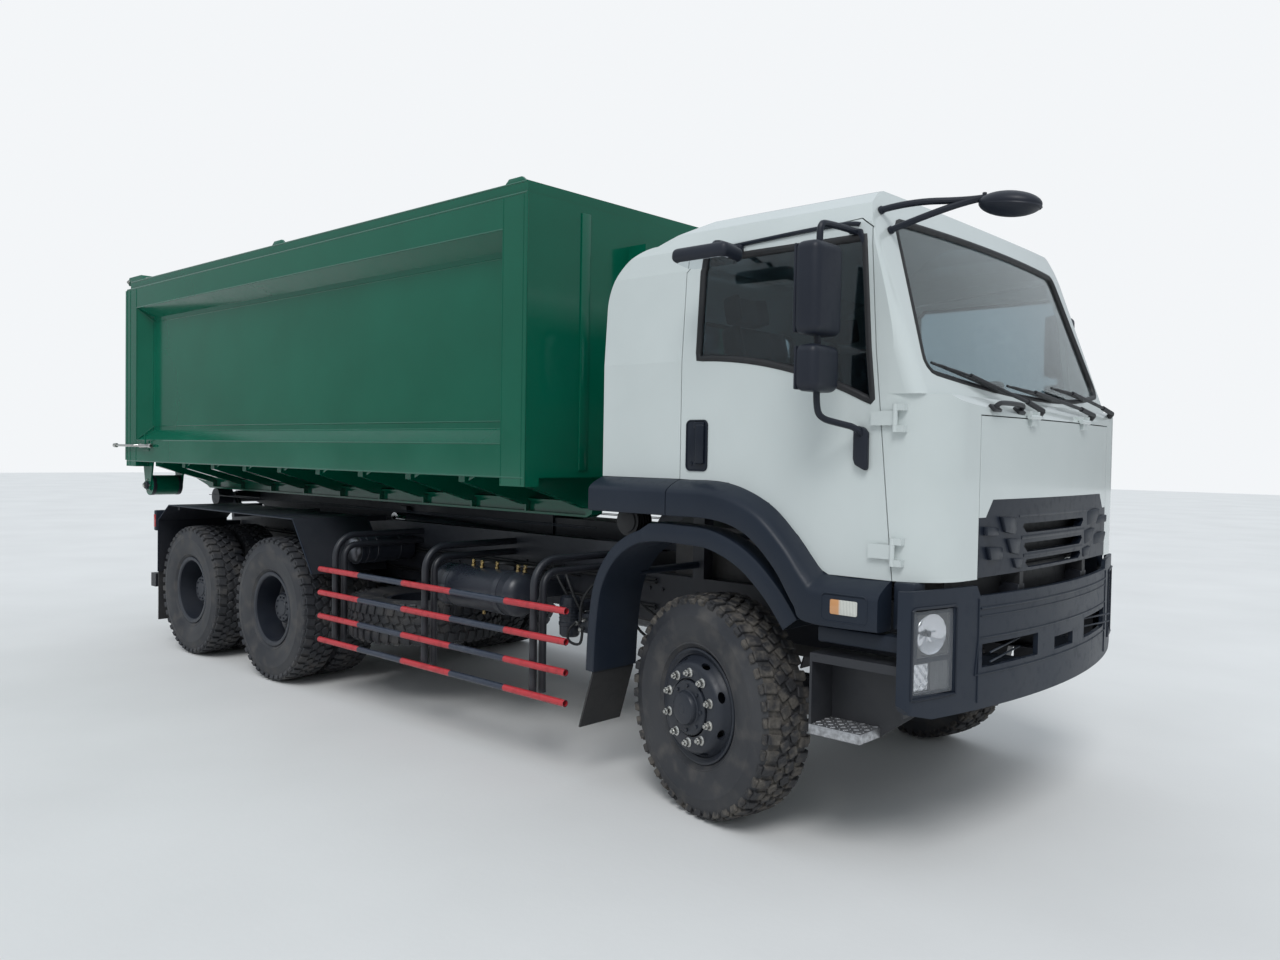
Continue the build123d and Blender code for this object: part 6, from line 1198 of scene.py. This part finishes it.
# Latch rods along the container's sides: rod, end cap, turnbuckle and threads, then the brackets that hold them
latch = {"y": 1.228, "z": 1.740, "rear": -7.056, "front": -6.330, "threads": 26, "threadPitch": 0.0040,
         "rod": ((0, 0), (0.009, 0), (0.011, 0.003), (0.011, 0.723), (0.009, 0.726), (0, 0.726)),
         "cap": ((0, 0), (0.019, 0), (0.020, 0.002), (0.020, 0.048), (0.019, 0.050), (0, 0.050)),
         "sleeve": ((0.011, 0), (0.016, 0.001), (0.019, 0.006), (0.019, 0.034), (0.0155, 0.040), (0.0155, 0.200),
                    (0.019, 0.206), (0.019, 0.234), (0.016, 0.239), (0.011, 0.240)),
         "thread": ((0.011, 0), (0.0128, 0.0015), (0.011, 0.003)),
         "lever": ((-0.06, 1.228, 1.752), (-0.055, 1.228, 1.790), (-0.075, 1.228, 1.850)),
         "brackets": (((0.040, 0.026, 0.036), 0.005, 2, 1.2145), ((0.130, 0.006, 0.090), 0.002, 1, 1.203))}


def addLatches():
    rod, dark = bmesh.new(), bmesh.new()
    rear, front = latch["rear"], latch["front"]
    for side in sideNames:
        def turned(outline, x, sides=20):
            start, end = spots([(x, latch["y"], latch["z"]), (x + 1, latch["y"], latch["z"])], side)
            pour(rod, turnedMesh(outline, sides, closed=False), along(start, end))

        turned(latch["rod"], rear)
        turned(latch["cap"], rear - 0.050)
        turned(latch["sleeve"], front - 0.180, 24)
        for number in range(latch["threads"]):
            turned(latch["thread"], front - 0.300 + number * latch["threadPitch"], 12)
        pour(dark, tubeMesh(spots([(front + x, y, z) for x, y, z in latch["lever"]], side), 0.006, 10))
        for size, radius, segments, y in latch["brackets"]:
            pour(dark, blockMesh(size, radius, segments), place(front - 0.110, side * y, latch["z"]))
    addPiece("gateLatchRods", rod, "bright", "container", "gate_latches")
    addPiece("latchBrackets", dark, "container_green", "container")


# Container rollers: caps, bolts and end rings, and lips along the beams' lower edges
roller = {"x": -6.700, "z": 1.375, "capY": 1.086, "rings": (0.802, 1.034), "beams": (0.478, 0.582),
          "cap": ((0, 0.026), (0.030, 0.026), (0.036, 0.020), (0.038, 0.0), (0, 0.0)),
          "ring": ((0.0925, 0.0), (0.0935, 0.004), (0.0935, 0.030), (0.0925, 0.034), (0.091, 0.034), (0.091, 0.0))}


def addRollerCaps():
    mesh, bright = bmesh.new(), bmesh.new()
    for side in sideNames:
        spot = outward(side, roller["x"], roller["capY"], roller["z"])
        pour(mesh, turnedMesh(roller["cap"], 32, closed=False), spot)
        pour(bright, rodMesh(0.020, 0.014, 6, edge=0.002), spot @ at(0, 0, 0.026))
        for bolt in ringOf(4, 0.052, -0.001):
            pour(bright, rodMesh(0.008, 0.008, 6, edge=0.001), spot @ bolt)
        pour(mesh, turnedMesh(roller["ring"], 48),
             [outward(side, roller["x"], y, roller["z"]) for y in roller["rings"]])
        for y in roller["beams"]:
            pour(mesh, tubeMesh(spots([(-6.535, y, 1.2845), (-1.425, y, 1.2845)], side), 0.0035, 8, smooth=False))
    addPiece("rollerCaps", mesh, "lift_dark", "container")
    addPiece("rollerBolts", bright, "bright", "container")


# Air tank with its brass fittings, the air dryer and valve block before it, and the hoses between them
airTank = {"radius": 0.135, "y": -0.880, "z": 0.880, "rear": -2.431, "length": 0.842,
           "end": ((0, 0), (0.018, 0), (0.060, 0.006), (0.098, 0.020), (0.122, 0.040), (0.133, 0.062), (0.135, 0.075),
                   (0.1368, 0.078), (0.1368, 0.092), (0.135, 0.095)),
           "bands": (-1.760, -2.260), "band": ((0.135, -0.022), (0.138, -0.021), (0.138, 0.021), (0.135, 0.022)),
           "fittings": ((-2.120, 0.0), (-2.010, -0.02), (-1.900, 0.01), (-1.690, 0.0), (-1.650, 0.02))}
dryer = {"x": -1.480, "y": -0.640, "fins": (0.730, 0.750, 0.770, 0.790, 0.810),
         "body": ((0, 0.620), (0.050, 0.622), (0.062, 0.634), (0.064, 0.690), (0.068, 0.694), (0.068, 0.712),
                  (0.064, 0.716), (0.064, 0.840), (0.058, 0.862), (0.035, 0.874), (0, 0.876)),
         "blocks": (((0.090, 0.170, 0.060), 0.006, (-1.480, -0.520, 0.800)), ((0.110, 0.090, 0.120), 0.010,
                    (-1.345, -0.610, 0.720)), ((0.080, 0.140, 0.040), 0.005, (-1.345, -0.500, 0.740))),
         "ports": ((-1.375, -0.660, 0.720), (-1.320, -0.660, 0.745), (-1.345, -0.660, 0.685)),
         "bolts": (-1.510, -1.450)}
hoses = {"radius": 0.0085, "tankRadius": 0.0065, "railRadius": 0.0075, "railY": 0.4455,
         "railLevels": (1.005, 0.985, 0.850, 0.832), "railFrom": -6.2, "railStep": 0.35, "railPoints": 16,
         "lines": (((-1.640, -0.470, 1.010), (-1.640, -0.640, 1.050), (-1.560, -0.700, 1.020), (-1.500, -0.690, 0.930),
                    (-1.480, -0.660, 0.872)),
                   ((-1.560, -0.470, 1.010), (-1.530, -0.640, 1.060), (-1.440, -0.720, 1.010), (-1.370, -0.710, 0.880),
                    (-1.345, -0.680, 0.800), (-1.345, -0.640, 0.775)),
                   ((-1.250, -0.460, 1.000), (-1.240, -0.560, 1.020), (-1.260, -0.680, 0.960), (-1.300, -0.740, 0.840),
                    (-1.320, -0.700, 0.745)),
                   ((-1.375, -0.690, 0.720), (-1.385, -0.740, 0.700), (-1.400, -0.740, 0.620), (-1.360, -0.700, 0.590),
                    (-1.320, -0.690, 0.610), (-1.330, -0.680, 0.685)),
                   ((-1.150, -0.460, 0.900), (-1.100, -0.560, 0.900), (-0.980, -0.640, 0.820), (-0.900, -0.620, 0.700),
                    (-0.860, -0.540, 0.660)),
                   ((-1.200, -0.460, 0.960), (-1.150, -0.600, 0.980), (-1.000, -0.660, 0.960), (-0.860, -0.640, 0.860),
                    (-0.800, -0.560, 0.800)))}


def addAirTank():
    mesh, brass, hose = bmesh.new(), bmesh.new(), bmesh.new()
    radius, y, z = airTank["radius"], airTank["y"], airTank["z"]
    top = z + radius
    body = airTank["end"] + tuple((part, airTank["length"] - height) for part, height in airTank["end"][::-1])
    pour(mesh, turnedMesh(body, 64, closed=False), along(*spots([(airTank["rear"], y, z), (0, y, z)])))
    for x in airTank["bands"]:
        pour(mesh, turnedMesh(airTank["band"], 64), along(*spots([(x, y, z), (0, y, z)])))
        pour(mesh, blockMesh((0.050, 0.400, 0.110), 0.006, 2), place(x, -0.640, 0.880))
        pour(mesh, blockMesh((0.050, 0.012, 0.200), 0.004), place(x, -0.4415, 0.900))
    for x, lean in airTank["fittings"]:
        middle = y + lean
        pour(brass, rodMesh(0.015, 0.016, 6, edge=0.002), place(x, middle, top - 0.004))
        pour(brass, rodMesh(0.010, 0.036, 12, edge=0.002), place(x, middle, top + 0.008))
        pour(brass, rodMesh(0.012, 0.026, 6, edge=0.002),
             along(*spots([(x - 0.004, middle, top + 0.034), (x + 1, middle, top + 0.034)])))
        pour(hose, tubeMesh(spots([(x + 0.015, middle, top + 0.034), (x + 0.05, middle, top + 0.036),
                                   (x + 0.07, middle + 0.10, top + 0.028), (x + 0.07, y + 0.30, top - 0.02),
                                   (x + 0.07, -0.460, top - 0.05)]), hoses["tankRadius"], 10))
    pour(brass, rodMesh(0.011, 0.030, 6, edge=0.002), place(-2.010, y, z - radius - 0.026))
    addPiece("airTank", mesh, "tank_metal", "chassis", stands="air_tank")
    addPiece("airFittings", brass, "brass", "chassis")
    return hose


def addAirDryer(hose):
    mesh, zinc = bmesh.new(), bmesh.new()
    spot = place(dryer["x"], dryer["y"], 0)
    pour(mesh, turnedMesh(dryer["body"], 40, closed=False), spot)
    for level in dryer["fins"]:
        pour(mesh, turnedMesh(((0.063, level), (0.067, level + 0.003), (0.067, level + 0.008), (0.063, level + 0.011)),
                              40), spot)
    for size, radius, middle in dryer["blocks"]:
        pour(mesh, blockMesh(size, radius, 2), place(*middle))
    addPiece("airDryer", mesh, "tank_metal", "chassis")
    for x, y, z in dryer["ports"]:
        pour(zinc, rodMesh(0.013, 0.030, 6, edge=0.002), outward(right, x, -y, z))
    for x in dryer["bolts"]:
        pour(zinc, rodMesh(0.009, 0.016, 6, edge=0.0015), place(x, dryer["y"], 0.866))
    addPiece("valveFittings", zinc, "bright", "chassis")
    for line in hoses["lines"]:
        pour(hose, tubeMesh(spots(line), hoses["radius"], 12))
    for side in sideNames:    # bundled lines along both rails, swaying a little
        for level in hoses["railLevels"]:
            line = [(hoses["railFrom"] + hoses["railStep"] * number, hoses["railY"] + (0.004 if number % 2 else 0),
                     level + (0.003 if number % 3 else 0)) for number in range(hoses["railPoints"])]
            pour(hose, tubeMesh(spots(line, side), hoses["railRadius"], 8))
    addPiece("airHoses", hose, "rubberSeal", "chassis", sharp=60)


# Domed tank before the rear fender, and the finned rests behind the cab
filterTank = {"spot": (-3.435, 0.470, 1.020), "bands": (0.100, 0.370), "dome": (0.098, 0.452, 0.062),
              "body": ((0, 0), (0.096, 0), (0.102, 0.006), (0.102, 0.300), (0.1055, 0.304), (0.1055, 0.320),
                       (0.102, 0.324), (0.102, 0.430), (0.107, 0.434), (0.107, 0.452), (0, 0.452))}
rests = {"spot": (-0.600, 0.960, 1.395), "fins": 6, "firstFin": 0.012, "finPitch": 0.020,
         "fin": ((0.058, 0.0), (0.076, 0.002), (0.076, 0.008), (0.058, 0.010)), "bracket": (0.715, 1.330)}


def addFilterTank():
    mesh, bright, fins = bmesh.new(), bmesh.new(), bmesh.new()
    spot = outward(right, *filterTank["spot"])
    pour(mesh, turnedMesh(filterTank["body"], 56, closed=False), spot)
    for level in filterTank["bands"]:
        band = ((0.102, level), (0.1045, level + 0.002), (0.1045, level + 0.028), (0.102, level + 0.030))
        pour(mesh, turnedMesh(band, 56), spot)
    pour(mesh, blockMesh((0.060, 0.070, 0.100), 0.006, 2), place(-3.435, -0.462, 0.985))
    radius, foot, height = filterTank["dome"]
    turns = [math.pi / 2 * part / 12 for part in range(13)]
    dome = [(radius * math.sin(turn), foot + height * math.cos(turn)) for turn in turns]
    pour(bright, turnedMesh(dome + [(radius, foot - 0.004), (0, foot - 0.004)], 56, closed=False), spot)
    addPiece("filterTank", mesh, "tank_metal", "chassis")
    addPiece("filterDome", bright, "wornAlloy", "chassis")
    for side in sideNames:
        spot = outward(side, *rests["spot"])
        pour(fins, rodMesh(0.060, 0.130, 32, edge=0.004), spot)
        for number in range(rests["fins"]):
            pour(fins, turnedMesh(rests["fin"], 40), spot @ at(0, 0, rests["firstFin"] + number * rests["finPitch"]))
        y, z = rests["bracket"]
        pour(fins, blockMesh((0.050, 0.52, 0.030), 0.006, 2), place(rests["spot"][0], side * y, z))
    addPiece("cabRests", fins, "rubberSeal", "chassis")


# Fuel tank with its rims, straps and cap; the battery box behind it
fuel = {"middle": (0.750, 0.760), "size": 0.560, "corner": 0.090, "rear": -2.480, "length": 1.130,
        "rims": (-2.440, -1.392), "straps": (-2.230, -1.600), "capSpot": (-1.550, 0.960, 1.036),
        "cap": ((0, 0), (0.046, 0), (0.048, 0.004), (0.048, 0.020), (0.040, 0.026), (0.040, 0.044), (0.030, 0.048),
                (0, 0.048))}
battery = {"boxes": (((0.610, 0.580, 0.360), 0.012, (-2.925, 0.770, 0.780)), ((0.590, 0.565, 0.030), 0.010,
                     (-2.925, 0.770, 0.970)), ((0.470, 0.055, 0.160), 0.006, (-2.925, 0.4605, 0.860))),
           "clips": (-3.080, -2.770), "ribs": 4, "ribX": -2.925, "ribZ": 0.665, "ribPitch": 0.045}


def addFuelTank():
    mesh, dark = bmesh.new(), bmesh.new()

    def section(grow, soften):
        return roundedOutline(fuel["size"] + grow, fuel["size"] + grow, fuel["corner"] + soften, 8, fuel["middle"])

    pour(mesh, plateMesh(section(0, 0), fuel["length"], 0.006), place(fuel["rear"], 0, 0) @ acrossTruck)
    for x in fuel["rims"]:
        pour(mesh, tubeMesh(spots([(x, y, z) for y, z in section(0.006, 0.002)]), 0.004, 8, closed=True, smooth=False))
    for x in fuel["straps"]:
        pour(dark, plateMesh(section(0.008, 0.003), 0.050, 0.001), place(x - 0.025, 0, 0) @ acrossTruck)
        pour(dark, blockMesh((0.060, 0.055, 0.260), 0.006, 2), place(x, 0.4645, 0.880))
    pour(dark, turnedMesh(fuel["cap"], 36, closed=False), place(*fuel["capSpot"]))
    for size, radius, spot in battery["boxes"]:
        pour(dark, blockMesh(size, radius, 2), place(*spot))
    for x in battery["clips"]:
        pour(dark, blockMesh((0.030, 0.010, 0.080), 0.004, 2), place(x, 1.062, 0.930))
    for number in range(battery["ribs"]):
        pour(dark, blockMesh((0.540, 0.008, 0.014), 0.003),
             place(battery["ribX"], 1.062, battery["ribZ"] + number * battery["ribPitch"]))
    addPiece("fuelTank", mesh, "fuel_alloy", "chassis", stands="fuel_tank_and_battery")
    addPiece("batteryBox", dark, "chassis_black", "chassis")


# Chassis: bolt heads in the rails' webs, rolled edges and pressed ribs of the rear fenders, flap strips
bolts = {"y": 0.432, "stations": (-0.60, -0.96, -1.83, -2.90, -3.50, -4.30, -4.795, -5.30, -5.95, -6.42),
         "square": ((-0.05, 0.83), (0.05, 0.83), (-0.05, 0.95), (0.05, 0.95)),
         "row": 14, "rowFrom": -1.40, "rowPitch": 0.36, "rowZ": 1.015, "flap": (0.70, 0.93, 1.16)}
fender = {"line": ((-3.478, 0.858), (-3.750, 1.232), (-5.860, 1.232), (-6.082, 1.092), (-6.082, 0.642)),
          "edges": (0.628, 1.237), "ribs": (-4.10, -4.80, -5.50), "strip": (-6.0985, 0.930, 0.672)}


def addChassisFittings():
    heads, folds = bmesh.new(), bmesh.new()
    places = []
    for side in sideNames:
        for station in bolts["stations"]:
            places += [outward(side, station + x, bolts["y"], z) for x, z in bolts["square"]]
        for number in range(bolts["row"]):
            places.append(outward(side, bolts["rowFrom"] - number * bolts["rowPitch"], bolts["y"], bolts["rowZ"]))
        for y in fender["edges"]:
            pour(folds, tubeMesh(spots([(x, y, z) for x, z in fender["line"]], side), 0.006, 10, smooth=False))
        for x in fender["ribs"]:
            pour(folds, blockMesh((0.040, 0.560, 0.008), 0.003, 2), place(x, side * 0.932, 1.2335))
        x, y, z = fender["strip"]
        pour(folds, blockMesh((0.012, 0.600, 0.036), 0.003, 2), place(x, side * y, z))
        places += [along(*spots([(-6.104, y, z), (-7, y, z)], side)) for y in bolts["flap"]]
    pour(heads, rodMesh(0.011, 0.011, 6, edge=0.0015), places)
    addPiece("frameBolts", heads, "chassis_black", "chassis")
    addPiece("fenderFolds", folds, "trim_black", "chassis")


# Tail lamps: ribbed red, amber and clear lenses in a case on a bracket
tail = {"x": -6.2355, "middleY": 1.0875, "z": 1.080, "fields": (("red", 0.072, 0.090), ("amber", 0.0, 0.050),
        ("clear", -0.072, 0.090)), "ribs": 9, "ribX": -6.241, "ribZ": 1.018, "ribPitch": 0.0155}


def addTailLamps():
    case = bmesh.new()
    lenses = {"red": bmesh.new(), "amber": bmesh.new(), "clear": bmesh.new()}
    for side in sideNames:
        pour(case, blockMesh((0.055, 0.255, 0.180), 0.010, 2), place(-6.2075, side * tail["middleY"], tail["z"]))
        pour(case, blockMesh((0.018, 0.560, 0.050), 0.004, 2), place(-6.200, side * 0.7175, 1.030))
        for colour, shift, width in tail["fields"]:
            y = side * (tail["middleY"] + shift)
            pour(lenses[colour], blockMesh((0.010, width - 0.006, 0.150), 0.004, 2), place(tail["x"], y, tail["z"]))
            for row in range(tail["ribs"]):
                pour(lenses[colour], blockMesh((0.003, width - 0.016, 0.004), 0.001),
                     place(tail["ribX"], y, tail["ribZ"] + row * tail["ribPitch"]))
        pour(lenses["red"], blockMesh((0.036, 0.006, 0.110), 0.002, 2), place(-6.2075, side * 1.2165, 1.080))
    addPiece("tailLampLenses", lenses["red"], "lamp_red", "chassis", stands="tail_lamps")
    addPiece("tailLampCases", case, "trim_black", "chassis")
    addPiece("tailLampAmber", lenses["amber"], "amber", "chassis")
    addPiece("tailLampClear", lenses["clear"], "clearRibbed", "chassis")


addContainerTrim()
addGateTrim()
addLatches()
addRollerCaps()
addAirDryer(addAirTank())
addFilterTank()
addFuelTank()
addChassisFittings()
addTailLamps()
print("container and chassis pieces made")
